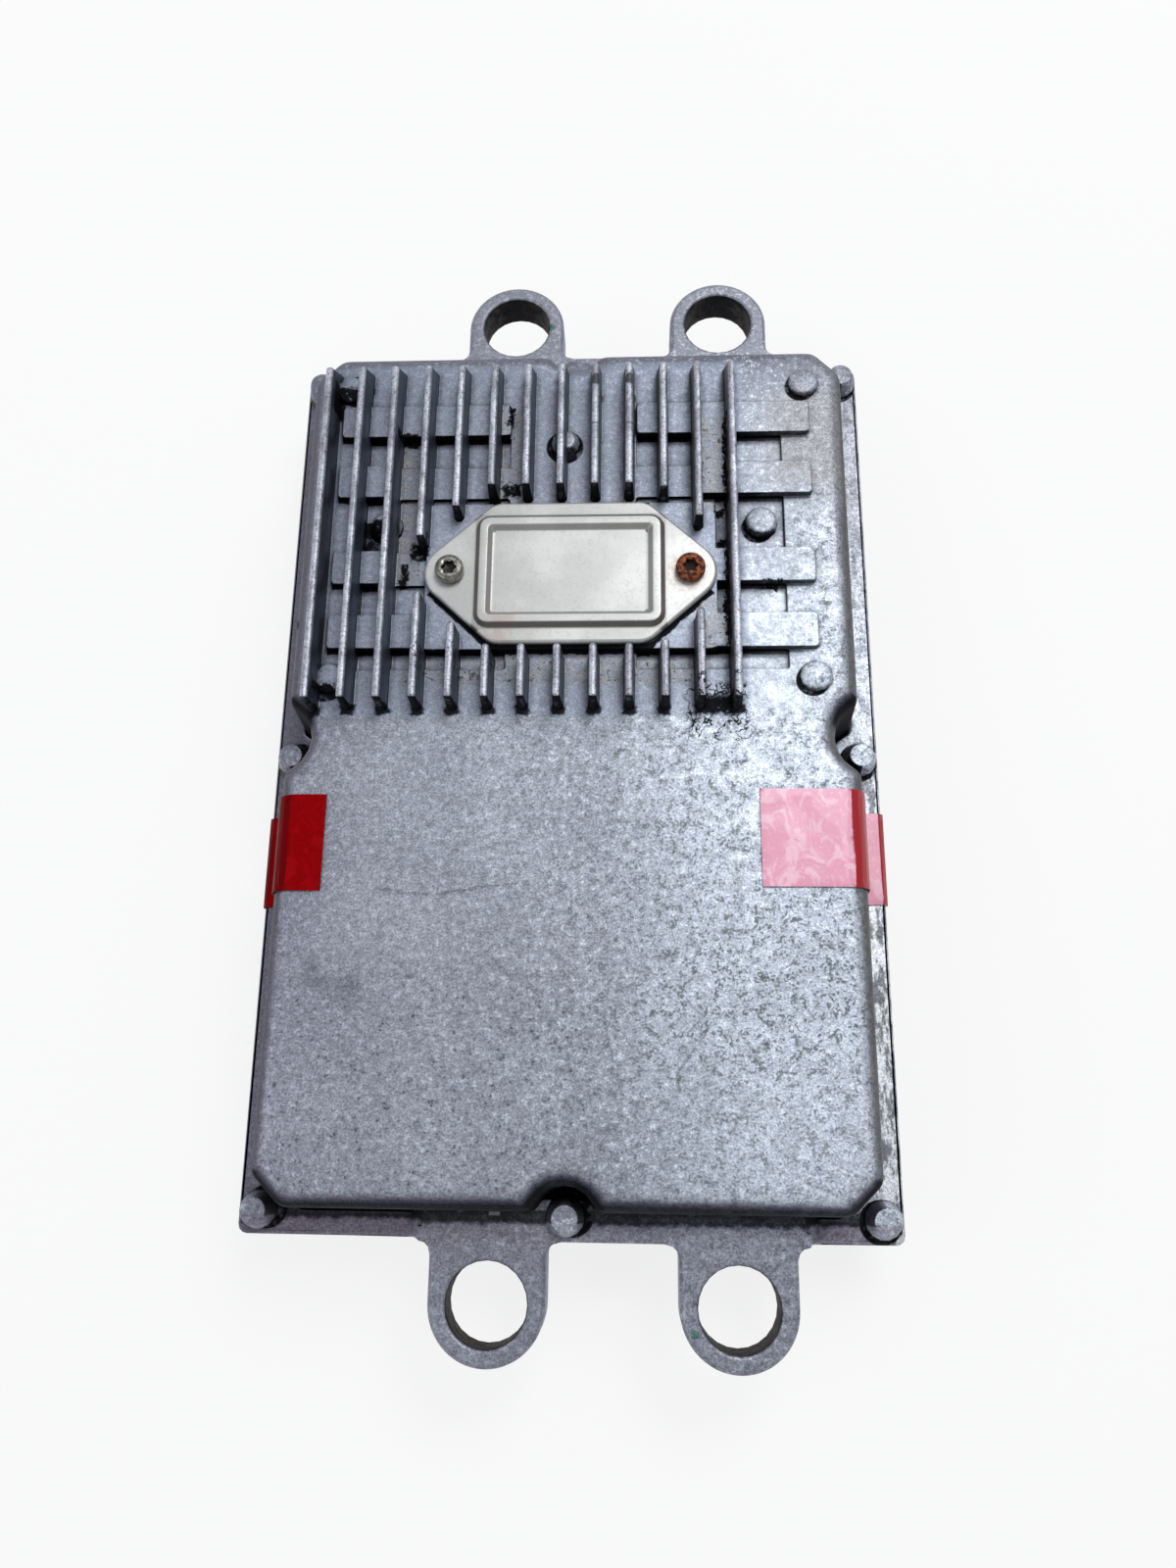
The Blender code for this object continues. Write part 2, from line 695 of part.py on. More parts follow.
def cover_gap_at(x):
    """Half the length that a fin at x gives up to the access cover, and 0 where it runs past the tips."""
    distance = abs(x - COVER_OFFSET_X) - FIN_TOP_WIDTH
    if distance > cover_tip() + FIN_COVER_GAP:
        return 0
    slant_run = COVER_HALF_HEIGHT / math.tan(COVER_SLANT) + FIN_COVER_GAP / math.sin(COVER_SLANT)
    vertex = COVER_FLAT_HALF + slant_run
    return min(COVER_HALF_HEIGHT + FIN_COVER_GAP, (vertex - distance) * math.tan(COVER_SLANT))


def fin_skin(x, near, far, far_slope):
    """One stretch of fin: drafted sides, eased top, and ends that lean out towards the foot."""
    foot = BODY_TOP - PANEL_SINK - RUN_IN
    rings = []
    for z, ease in ((foot, 0), (FIN_TOP - FIN_EDGE, 0), (FIN_TOP, FIN_EDGE)):
        drop = FIN_TOP - z
        half = FIN_TOP_WIDTH / 2 + drop * math.tan(FIN_DRAFT) - ease
        rise = (z - BODY_TOP) / FIN_HEIGHT
        y0 = near + rise * FIN_NEAR_SLOPE + ease
        y1 = far - rise * far_slope - ease
        corner = half * FIN_END_ROUNDING
        outline = [
            complex(x - half + corner, y0),
            complex(x + half - corner, y0),
            complex(x + half, y0 + corner),
            complex(x + half, y1 - corner),
            complex(x + half - corner, y1),
            complex(x - half + corner, y1),
            complex(x - half, y1 - corner),
            complex(x - half, y0 + corner),
        ]
        rings.append(ring(outline, z))
    return loft_faces(rings)


def fin_skins():
    skins = []
    for x in fin_places():
        gap = cover_gap_at(x)
        if gap <= 0:
            skins.append(fin_skin(x, FIN_FOOT_NEAR, FIN_FOOT_FAR, FIN_FAR_SLOPE))
            continue
        skins.append(fin_skin(x, FIN_FOOT_NEAR, COVER_CENTRE.imag - gap, FIN_NEAR_SLOPE))
        skins.append(fin_skin(x, COVER_CENTRE.imag + gap, FIN_FOOT_FAR, FIN_FAR_SLOPE))
    return skins


def dome_places():
    """Plan centres of the domed marks: three down each side and one in the far bay."""
    rows = row_edges()
    side = BODY_RIGHT - BAR_END_MARGIN - DOME_FOOT_RADIUS / 4
    far = rows[0][1] + DOME_FOOT_RADIUS + BAR_RISE
    near = rows[3][0] - DOME_FOOT_RADIUS - 2 * BAR_RISE
    inner = BODY_RIGHT - PANEL_END_MARGIN - DOME_FOOT_RADIUS - BAR_RISE
    middle = (rows[2][1] + rows[1][0]) / 2
    bay = (rows[0][0] + rows[1][1]) / 2 + DOME_FOOT_RADIUS / 2
    places = [complex(BAY_DOME_X, bay)]
    for sign in (-1, 1):
        places += [complex(sign * side, far), complex(sign * inner, middle), complex(sign * side, near)]
    return places


def dome_skins():
    profile = [
        (DOME_FOOT_RADIUS, BODY_TOP - PANEL_SINK - RUN_IN),
        (DOME_FOOT_RADIUS, BODY_TOP),
        ((DOME_FOOT_RADIUS + 2 * DOME_TOP_RADIUS) / 3, BODY_TOP + DOME_HEIGHT * DOME_SHOULDER),
        (DOME_TOP_RADIUS, BODY_TOP + DOME_HEIGHT),
    ]
    return [turned(place, profile, DOME_SIDES) for place in dome_places()]


def boss_skins():
    """A blind boss over each tray screw. The middle two stand on the raised strips."""
    skins = []
    for place in tray_screw_places():
        foot = FLANGE_TOP if place.real else EAR_TOP
        shoulder = foot + BOSS_HEIGHT * BOSS_SHOULDER
        profile = [
            (BOSS_FOOT_RADIUS, FLANGE_TOP - FLANGE_THICKNESS / 2),
            (BOSS_FOOT_RADIUS, foot),
            ((BOSS_FOOT_RADIUS + 2 * BOSS_TOP_RADIUS) / 3, shoulder),
            (BOSS_TOP_RADIUS, foot + BOSS_HEIGHT),
        ]
        skins.append(turned(place, profile, BOSS_SIDES))
    return skins


def cavity_skin():
    """The hollow under the roof, following the outer walls."""
    rise = ROOF_UNDER - FLANGE_TOP
    rings = [ring(body_outline(HOUSING_WALL, 3), PARTING_Z - RUN_IN)]
    rings.append(ring(body_outline(HOUSING_WALL + rise * math.tan(BODY_DRAFT), 3), ROOF_UNDER))
    return loft_faces(rings)


def cover_screw_hole_end():
    return COVER_TOP + SEAT_GAP - COVER_SCREW_LENGTH - BLIND_END_GAP


def roof_pillars():
    """Posts under the roof: four for the power board and two for the cover's screws."""
    root = ROOF_UNDER + HOUSING_ROOF / 2
    pillars = []
    for place in board_post_places(power_board_span()):
        low = POWER_BOARD_TOP + SEAT_GAP
        pillars.append(turned(place, [(BOARD_POST_RADIUS, low), (BOARD_POST_RADIUS, root)], HOLE_SIDES))
    radius = COVER_SCREW_RADIUS + HOLE_CLEARANCE + PILLAR_WALL
    low = cover_screw_hole_end() - PILLAR_WALL
    for place in cover_screw_places().values():
        pillars.append(turned(place, [(radius, low), (radius, root)], HOLE_SIDES))
    return pillars


def housing_holes():
    """Blind holes for all the screws that end in the housing."""
    holes = []
    radius = TRAY_SCREW_RADIUS + HOLE_CLEARANCE
    end = RIM_UNDER - SEAT_GAP + TRAY_SCREW_LENGTH + BLIND_END_GAP
    for place in tray_screw_places():
        holes.append(turned(place, [(radius, PARTING_Z - RUN_IN), (radius, end)], HOLE_SIDES))
    radius = COVER_SCREW_RADIUS + HOLE_CLEARANCE
    low = cover_screw_hole_end()
    for place in cover_screw_places().values():
        holes.append(turned(place, [(radius, low), (radius, BAR_TOP + RUN_IN)], HOLE_SIDES))
    radius = BOARD_SCREW_RADIUS + HOLE_CLEARANCE
    low = POWER_BOARD_TOP - RUN_IN
    end = POWER_BOARD_Z - SEAT_GAP + BOARD_SCREW_LENGTH + BLIND_END_GAP
    for place in board_post_places(power_board_span()):
        holes.append(turned(place, [(radius, low), (radius, end)], HOLE_SIDES))
    return holes


def ear_bores():
    profile = [
        (EAR_BORE_RADIUS, PARTING_Z - RUN_IN),
        (EAR_BORE_RADIUS, EAR_TOP - EAR_BORE_CHAMFER),
        (EAR_BORE_RADIUS + 2 * EAR_BORE_CHAMFER, EAR_TOP + EAR_BORE_CHAMFER),
    ]
    return [turned(centre, profile, BORE_SIDES) for centre, _, _ in ear_places()]


def make_upper_housing(material):
    housing = piece("upper_housing", [body_skin()], material)
    bars, link, seat = relief_bars()
    cut(housing, "relief_panels", relief_panels())
    add(housing, "flange", [flange_skin()])
    add(housing, "ear_strips", strip_skins())
    add(housing, "ears", ear_skins())
    add(housing, "bars", bars)
    add(housing, "bar_link", [link])
    add(housing, "cover_seat", [seat])
    add(housing, "domes", dome_skins())
    add(housing, "fins", fin_skins())
    add(housing, "screw_bosses", boss_skins())
    cut(housing, "cavity", [cavity_skin()])
    add(housing, "roof_pillars", roof_pillars())
    window = rounded_rectangle(COVER_CENTRE, WINDOW_HALF_X, WINDOW_HALF_Y, WINDOW_RADIUS)
    cut(housing, "access_window", [prism(window, ROOF_UNDER - RUN_IN, BAR_TOP + RUN_IN)])
    cut(housing, "screw_holes", housing_holes())
    cut(housing, "ear_bores", ear_bores())
    return housing


# Tray, seals and screws

def tray_skin():
    """The deep part of the tray, as a rim-high block with drafted sides and a round foot."""
    rise = TRAY_DEPTH - TRAY_FOOT_RADIUS
    foot_inset = rise * math.tan(TRAY_DRAFT)
    middle = TRAY_FOOT_RADIUS * ROUND_MIDDLE
    rings = [
        ring(body_outline(foot_inset + TRAY_FOOT_RADIUS, 3), 0),
        ring(body_outline(foot_inset + middle, 3), middle),
        ring(body_outline(foot_inset, 3), TRAY_FOOT_RADIUS),
        ring(body_outline(0, 3), TRAY_DEPTH),
    ]
    return loft_faces(rings)


def seal_outlines(clearance):
    """Outer and inner plan of the seal, or of its groove if a clearance is given."""
    outer = body_outline(SEAL_LIP - clearance, 3)
    inner = body_outline(SEAL_LIP + SEAL_WIDTH + clearance, 3)
    return outer, inner


def frame_skin(outer, inner, low, high):
    """A flat closed frame between two outlines with equal point counts."""
    rings = [ring(outer, low), ring(outer, high), ring(inner, high), ring(inner, low)]
    return loft_faces(rings, closed=True)


def header_outline(grow, radius=MOUTH_RADIUS):
    """Plan of the header's block round its three mouths."""
    half_x = MOUTH_PITCH + MOUTH_HALF_X + HEADER_WALL + grow
    half_y = MOUTH_HALF_Y + HEADER_WALL + grow
    return rounded_rectangle(HEADER_Y * 1j, half_x, half_y, radius)


def make_base_tray(material):
    tray = piece("base_tray", [tray_skin()], material)
    rim = rounded_rectangle(FLANGE_SHIFT_Y * 1j, FLANGE_RIGHT, FLANGE_LENGTH / 2, FLANGE_CORNER_RADIUS)
    add(tray, "rim", [prism(rim, RIM_UNDER, TRAY_DEPTH)])
    top_inset = TRAY_WALL
    floor_inset = TRAY_WALL + TRAY_DEPTH * math.tan(TRAY_DRAFT)
    hollow = loft_faces([
        ring(body_outline(floor_inset, 3), TRAY_FLOOR),
        ring(body_outline(top_inset, 3), TRAY_DEPTH + RUN_IN),
    ])
    cut(tray, "hollow", [hollow])
    groove_outer, groove_inner = seal_outlines(SEAT_GAP)
    groove_floor = TRAY_DEPTH - SEAL_HEIGHT - SEAT_GAP
    cut(tray, "seal_groove", [frame_skin(groove_outer, groove_inner, groove_floor, TRAY_DEPTH + RUN_IN)])
    posts = []
    post_holes = []
    screw_low = LOGIC_BOARD_Z + BOARD_THICKNESS + SEAT_GAP - BOARD_SCREW_LENGTH - BLIND_END_GAP
    hole_radius = BOARD_SCREW_RADIUS + HOLE_CLEARANCE
    for place in board_post_places(logic_board_span()):
        posts.append(turned(place, [
            (BOARD_POST_RADIUS, TRAY_FLOOR / 2),
            (BOARD_POST_RADIUS, LOGIC_BOARD_Z - SEAT_GAP),
        ], HOLE_SIDES))
        span = [(hole_radius, screw_low), (hole_radius, LOGIC_BOARD_Z)]
        post_holes.append(turned(place, span, HOLE_SIDES))
    add(tray, "board_posts", posts)
    cut(tray, "board_screw_holes", post_holes)
    radius = TRAY_SCREW_RADIUS + HOLE_CLEARANCE
    holes = [
        turned(place, [(radius, RIM_UNDER - RUN_IN), (radius, TRAY_DEPTH + RUN_IN)], HOLE_SIDES)
        for place in tray_screw_places()
    ]
    cut(tray, "rim_holes", holes)
    cut(tray, "header_cutout", [prism(header_outline(SEAT_GAP), -RUN_IN, TRAY_FLOOR + RUN_IN)])
    return tray


def make_perimeter_seal(material):
    outer, inner = seal_outlines(0)
    frame = frame_skin(outer, inner, TRAY_DEPTH - SEAL_HEIGHT, TRAY_DEPTH)
    return piece("perimeter_seal", [frame], material)


def star_screw(name, place, seat, facing, sizes, sides, material):
    """A pan head screw with a six-lobed recess. facing is 1 for a head that looks up, -1 for down."""
    radius, length, head_radius, head_height = sizes
    recess = head_radius * RECESS_REACH
    outlines = [
        (circle(place, radius, sides), -length),
        (circle(place, radius, sides), 0),
        (circle(place, head_radius, sides), 0),
        (circle(place, head_radius, sides), head_height * HEAD_SHOULDER),
        (circle(place, head_radius * HEAD_CROWN, sides), head_height),
        (star_outline(place, recess, sides), head_height),
        (star_outline(place, recess * RECESS_TAPER, sides), head_height * RECESS_FLOOR),
    ]
    rings = [ring(outline, seat + facing * rise) for outline, rise in outlines]
    if facing < 0:
        rings.reverse()
    return piece(name, [loft_faces(rings)], material)


def make_tray_screws(material):
    near = ("near_left", "near_middle", "near_right")
    far = ("far_left", "far_middle", "far_right")
    names = near + ("side_left", "side_right") + far
    sizes = (TRAY_SCREW_RADIUS, TRAY_SCREW_LENGTH, TRAY_SCREW_HEAD_RADIUS, TRAY_SCREW_HEAD_HEIGHT)
    seat = RIM_UNDER - SEAT_GAP
    for name, place in zip(names, tray_screw_places()):
        star_screw("tray_screw_" + name, place, seat, -1, sizes, TRAY_SCREW_SIDES, material)


def board_screw(name, place, seat, facing, material):
    """A small plain pan head screw."""
    profile = [
        (BOARD_SCREW_RADIUS, -BOARD_SCREW_LENGTH),
        (BOARD_SCREW_RADIUS, 0),
        (BOARD_SCREW_HEAD_RADIUS, 0),
        (BOARD_SCREW_HEAD_RADIUS * HEAD_CROWN, BOARD_SCREW_HEAD_HEIGHT),
    ]
    pairs = [(radius, seat + facing * rise) for radius, rise in profile]
    if facing < 0:
        pairs.reverse()
    return piece(name, [turned(place, pairs, HOLE_SIDES)], material)


# Access cover

def make_access_cover(material):
    """A pressed sheet with a turned-down rim and a raised ridge round its middle."""
    skirt_low = BAR_TOP + SEAT_GAP
    under = COVER_TOP - COVER_SHEET
    rings = [ring(cover_outline(COVER_SHEET), under), ring(cover_outline(COVER_SHEET), skirt_low)]
    rings += [ring(cover_outline(0), skirt_low), ring(cover_outline(0), COVER_TOP - COVER_RIM_RADIUS)]
    rim_steps = 3
    for i in range(1, rim_steps + 1):
        angle = QUARTER * i / rim_steps
        inset = COVER_RIM_RADIUS * (1 - math.cos(angle))
        rings.append(ring(cover_outline(inset), COVER_TOP - COVER_RIM_RADIUS * (1 - math.sin(angle))))
    cover = piece("access_cover", [loft_faces(rings)], material)
    add(cover, "ridge", [ridge_skin(0, COVER_TOP - COVER_SHEET / 2, COVER_TOP + RIDGE_RISE, 2)])
    groove_top = COVER_TOP + RIDGE_RISE - COVER_SHEET
    cut(cover, "ridge_hollow", [ridge_skin(COVER_SHEET, under - RUN_IN, groove_top, 2)])
    radius = COVER_SCREW_RADIUS + HOLE_CLEARANCE
    holes = [
        turned(place, [(radius, skirt_low - RUN_IN), (radius, COVER_TOP + RUN_IN)], COVER_HOLE_SIDES)
        for place in cover_screw_places().values()
    ]
    cut(cover, "screw_holes", holes)
    return cover


def ridge_skin(inset, low, high, steps):
    """The ridge's rectangular ring with sloping flanks, moved into its own section by inset."""
    def loop(offset, z):
        half_x = RIDGE_HALF_X - offset
        half_y = RIDGE_HALF_Y - offset
        radius = max(RIDGE_CORNER_RADIUS - offset, RIDGE_CORNER_RADIUS / 4)
        return ring(rounded_rectangle(COVER_CENTRE, half_x, half_y, radius, steps + 2), z)
    outer = inset
    inner = RIDGE_WIDTH - inset
    shoulder = min(RIDGE_SLOPE, (inner - outer) / 3)
    loops = [loop(outer, low), loop(outer, COVER_TOP), loop(outer + shoulder, high)]
    loops += [loop(inner - shoulder, high), loop(inner, COVER_TOP), loop(inner, low)]
    return loft_faces(loops, closed=True)


def make_cover_gasket(material):
    """A flat ring of foam rubber between the seat and the cover."""
    outer = cover_outline(COVER_SHEET + SEAT_GAP, 2)
    low = BAR_TOP + SEAT_GAP
    gasket = piece("cover_gasket", [prism(outer, low, low + GASKET_THICKNESS)], material)
    half_x = WINDOW_HALF_X + GASKET_RING / 2
    half_y = WINDOW_HALF_Y + GASKET_RING / 2
    middle = rounded_rectangle(COVER_CENTRE, half_x, half_y, WINDOW_RADIUS)
    openings = [prism(middle, low - RUN_IN, low + GASKET_THICKNESS + RUN_IN)]
    radius = COVER_SCREW_RADIUS + HOLE_CLEARANCE
    for place in cover_screw_places().values():
        span = [(radius, low - RUN_IN), (radius, low + GASKET_THICKNESS + RUN_IN)]
        openings.append(turned(place, span, HOLE_SIDES))
    cut(gasket, "openings", openings)
    return gasket


def make_cover_screws(clean, rusty):
    sizes = (COVER_SCREW_RADIUS, COVER_SCREW_LENGTH, COVER_SCREW_HEAD_RADIUS, COVER_SCREW_HEAD_HEIGHT)
    seat = COVER_TOP + SEAT_GAP
    places = cover_screw_places()
    star_screw("cover_screw_left", places["left"], seat, 1, sizes, COVER_SCREW_SIDES, clean)
    star_screw("cover_screw_right", places["right"], seat, 1, sizes, COVER_SCREW_SIDES, rusty)


# Connector header

def mouth_places():
    names = ("left", "middle", "right")
    return {name: complex((i - 1) * MOUTH_PITCH, HEADER_Y) for i, name in enumerate(names)}


HEADER_CEILING_UNDER = HEADER_TOP - HEADER_CEILING
HEADER_FLANGE_Z = TRAY_FLOOR + 2 * SEAT_GAP + HEADER_SEAL_THICKNESS


def make_connector_header(material):
    """Moulded block with three mouths, and a flange that sits on a seal inside the tray."""
    header = piece("connector_header", [prism(header_outline(0), HEADER_RECESS, HEADER_TOP)], material)
    flange = header_outline(HEADER_FLANGE_REACH, MOUTH_RADIUS + HEADER_FLANGE_REACH)
    add(header, "flange", [prism(flange, HEADER_FLANGE_Z, HEADER_FLANGE_Z + HEADER_FLANGE_THICKNESS)])
    mouths = []
    windows = []
    for place in mouth_places().values():
        mouth = rounded_rectangle(place, MOUTH_HALF_X, MOUTH_HALF_Y, MOUTH_RADIUS)
        mouths.append(prism(mouth, HEADER_RECESS - RUN_IN, HEADER_CEILING_UNDER))
        half_x = MOUTH_HALF_X - WINDOW_LEDGE
        half_y = MOUTH_HALF_Y - WINDOW_LEDGE
        window = rounded_rectangle(place, half_x, half_y, MOUTH_RADIUS / 2, 1)
        windows.append(prism(window, HEADER_CEILING_UNDER - RUN_IN, HEADER_TOP + RUN_IN))
    cut(header, "mouths", mouths)
    cut(header, "pin_windows", windows)
    return header


def make_header_seal(material):
    low = TRAY_FLOOR + SEAT_GAP
    inner = header_outline(SEAT_GAP)
    outer = header_outline(HEADER_FLANGE_REACH - SEAT_GAP, MOUTH_RADIUS + HEADER_FLANGE_REACH)
    return piece("header_seal", [frame_skin(outer, inner, low, low + HEADER_SEAL_THICKNESS)], material)


def pin_skin(centre, low, high):
    """A square pin with a tapered tip that points down."""
    half = PIN_WIDTH / 2
    tip = [centre + half * PIN_TIP * corner for corner in SQUARE]
    shank = [centre + half * corner for corner in SQUARE]
    return loft_faces([ring(tip, low), ring(shank, low + PIN_WIDTH), ring(shank, high)])


def make_pin_blocks(material):
    """Each block is a stepped wafer in the header's ceiling, with two rows of pins into the mouth."""
    top = HEADER_CEILING_UNDER - SEAT_GAP
    low = top - WAFER_THICKNESS
    ledge = WINDOW_LEDGE + SEAT_GAP
    for name, place in mouth_places().items():
        half_x = MOUTH_HALF_X - SEAT_GAP
        half_y = MOUTH_HALF_Y - SEAT_GAP
        wafer = rounded_rectangle(place, half_x, half_y, MOUTH_RADIUS, 2)
        block = piece("pin_block_" + name, [prism(wafer, low, top)], material)
        neck = rounded_rectangle(place, MOUTH_HALF_X - ledge, MOUTH_HALF_Y - ledge, MOUTH_RADIUS / 2, 1)
        add(block, "neck", [prism(neck, low + WAFER_THICKNESS / 2, HEADER_TOP)])
        pins = []
        for row in (-1, 1):
            for column in range(PIN_COLUMNS):
                x = (column - (PIN_COLUMNS - 1) / 2) * PIN_PITCH
                centre = place + complex(x, row * PIN_ROW_SPACING / 2)
                pins.append(pin_skin(centre, low - PIN_LENGTH, low + WAFER_THICKNESS / 4))
        add(block, "pins", pins)


# Boards and components

def make_board(name, span, z, material):
    near, far = span
    half = board_half_width()
    centre = complex(0, (near + far) / 2)
    outline = rounded_rectangle(centre, half, (far - near) / 2, BOARD_CORNER_RADIUS, 2)
    board = piece(name, [prism(outline, z, z + BOARD_THICKNESS)], material)
    radius = BOARD_SCREW_RADIUS + HOLE_CLEARANCE
    holes = [
        turned(place, [(radius, z - RUN_IN), (radius, z + BOARD_THICKNESS + RUN_IN)], HOLE_SIDES)
        for place in board_post_places(span)
    ]
    cut(board, "screw_holes", holes)
    return board


def make_board_screws(material):
    corners = ("near_left", "near_right", "far_left", "far_right")
    seat = LOGIC_BOARD_Z + BOARD_THICKNESS + SEAT_GAP
    for corner, place in zip(corners, board_post_places(logic_board_span())):
        board_screw("logic_screw_" + corner, place, seat, 1, material)
    for corner, place in zip(corners, board_post_places(power_board_span())):
        board_screw("power_screw_" + corner, place, POWER_BOARD_Z - SEAT_GAP, -1, material)


def make_transistors(material):
    """A row of flat packages against the roof, with three legs each down to the power board."""
    top = ROOF_UNDER - SEAT_GAP
    low = top - TRANSISTOR_THICKNESS
    y = power_board_span()[1] - TRANSISTOR_FROM_EDGE
    for i in range(TRANSISTOR_COUNT):
        centre = complex((i - (TRANSISTOR_COUNT - 1) / 2) * TRANSISTOR_PITCH, y)
        package = rounded_rectangle(centre, TRANSISTOR_HALF_X, TRANSISTOR_HALF_Y, LEG_WIDTH, 1)
        transistor = piece("power_transistor_" + str(i + 1), [prism(package, low, top)], material)
        legs = []
        for side in (-1, 0, 1):
            place = centre + complex(side * LEG_PITCH, LEG_WIDTH - TRANSISTOR_HALF_Y)
            leg = [place + LEG_WIDTH / 2 * corner for corner in SQUARE]
            legs.append(prism(leg, POWER_BOARD_TOP + SEAT_GAP, low + LEG_WIDTH))
        add(transistor, "legs", legs)


def make_capacitors(material):
    """A row of cans that lie along Y under the power board."""
    y0 = power_board_span()[0] + CAPACITOR_FROM_EDGE - CAPACITOR_LENGTH / 2
    z = POWER_BOARD_Z - SEAT_GAP - CAPACITOR_RADIUS
    crimp = CAPACITOR_CRIMP
    stations = [
        (CAPACITOR_RADIUS - crimp, 0),
        (CAPACITOR_RADIUS, crimp),
        (CAPACITOR_RADIUS, CAPACITOR_LENGTH - crimp),
        (CAPACITOR_RADIUS - crimp, CAPACITOR_LENGTH),
    ]
    for i in range(CAPACITOR_COUNT):
        x = (i - (CAPACITOR_COUNT - 1) / 2) * CAPACITOR_PITCH
        rings = []
        for radius, along in stations:
            section = circle(complex(x, z), radius, DOME_SIDES)
            rings.append([(point.real, y0 + along, point.imag) for point in reversed(section)])
        piece("capacitor_" + str(i + 1), [loft_faces(rings)], material)


def make_chokes(material):
    """Two wound chokes in square cases under the power board."""
    y = power_board_span()[0] + CHOKE_FROM_EDGE
    top = POWER_BOARD_Z - SEAT_GAP
    for name, side in (("left", -1), ("right", 1)):
        centre = complex(side * CHOKE_SPACING / 2, y)
        rings = []
        low = top - CHOKE_HEIGHT
        for inset, z in ((CHOKE_EASE, low), (0, low + CHOKE_EASE), (0, top)):
            outline = rounded_rectangle(centre, CHOKE_HALF - inset, CHOKE_HALF - inset, CHOKE_HALF / 4)
            rings.append(ring(outline, z))
        piece("choke_" + name, [loft_faces(rings)], material)


def make_chips(material):
    """Two large packages on the logic board."""
    y = logic_board_span()[1] - CHIP_FROM_LAP
    low = LOGIC_BOARD_Z + BOARD_THICKNESS + SEAT_GAP
    for name, side in (("processor", -1), ("driver", 1)):
        centre = complex(side * CHIP_SPACING / 2, y)
        outline = rounded_rectangle(centre, CHIP_HALF, CHIP_HALF, CHIP_HALF / 12, 1)
        piece(name + "_chip", [prism(outline, low, low + CHIP_THICKNESS)], material)


def make_terminal_block(material):
    """The upright block that links the two boards where they lap."""
    centre = complex(0, power_board_span()[0] + TERMINAL_FROM_EDGE)
    low = LOGIC_BOARD_Z + BOARD_THICKNESS + SEAT_GAP
    foot = rounded_rectangle(centre, TERMINAL_HALF_X, TERMINAL_HALF_Y, TERMINAL_HALF_Y / 4, 1)
    waist_x = TERMINAL_HALF_X - TERMINAL_STEP
    waist_y = TERMINAL_HALF_Y - TERMINAL_STEP
    waist = rounded_rectangle(centre, waist_x, waist_y, TERMINAL_HALF_Y / 4, 1)
    rings = [
        ring(foot, low),
        ring(foot, low + TERMINAL_HALF_Y),
        ring(waist, low + TERMINAL_HALF_Y),
        ring(waist, POWER_BOARD_Z - SEAT_GAP),
    ]
    return piece("terminal_block", [loft_faces(rings)], material)


# Sealing tapes

def tape_path(lift, on_top):
    """X and z along the body's right edge, lifted off its surface, from the top face outwards."""
    wall_rise = BODY_TOP - BODY_FILLET * (1 - math.sin(BODY_DRAFT)) - FLANGE_TOP
    centre_x = BODY_RIGHT - wall_rise * math.tan(BODY_DRAFT) - BODY_FILLET * math.cos(BODY_DRAFT)
    centre = complex(centre_x, BODY_TOP - BODY_FILLET)
    points = [complex(BODY_RIGHT - on_top, BODY_TOP + lift)]
    points += arc(centre, BODY_FILLET + lift, QUARTER, BODY_DRAFT, 5)
    points.append(complex(BODY_RIGHT + lift, FLANGE_TOP + BODY_FOOT_FLARE))
    points.append(complex(BODY_RIGHT + BODY_FOOT_FLARE + lift, FLANGE_TOP + lift))
    points.append(complex(FLANGE_RIGHT - FLANGE_EDGE_RADIUS, FLANGE_TOP + lift))
    points.append(complex(FLANGE_RIGHT + lift, FLANGE_TOP - FLANGE_EDGE_RADIUS))
    points.append(complex(FLANGE_RIGHT + lift, FLANGE_TOP - FLANGE_EDGE_RADIUS - TAPE_TURN_DOWN))
    return points


def make_tape(name, side, on_top, middle, material):
    """A strip of film that follows the body down to the flange and turns over its edge."""
    inner = tape_path(SEAT_GAP, on_top)
    outer = tape_path(SEAT_GAP + TAPE_THICKNESS, on_top)
    section = [(side * point.real, point.imag) for point in inner + outer[::-1]]
    if side > 0:
        section.reverse()
    half = TAPE_WIDTH / 2
    return piece(name, [extrude_along_y(section, middle - half, middle + half)], material)


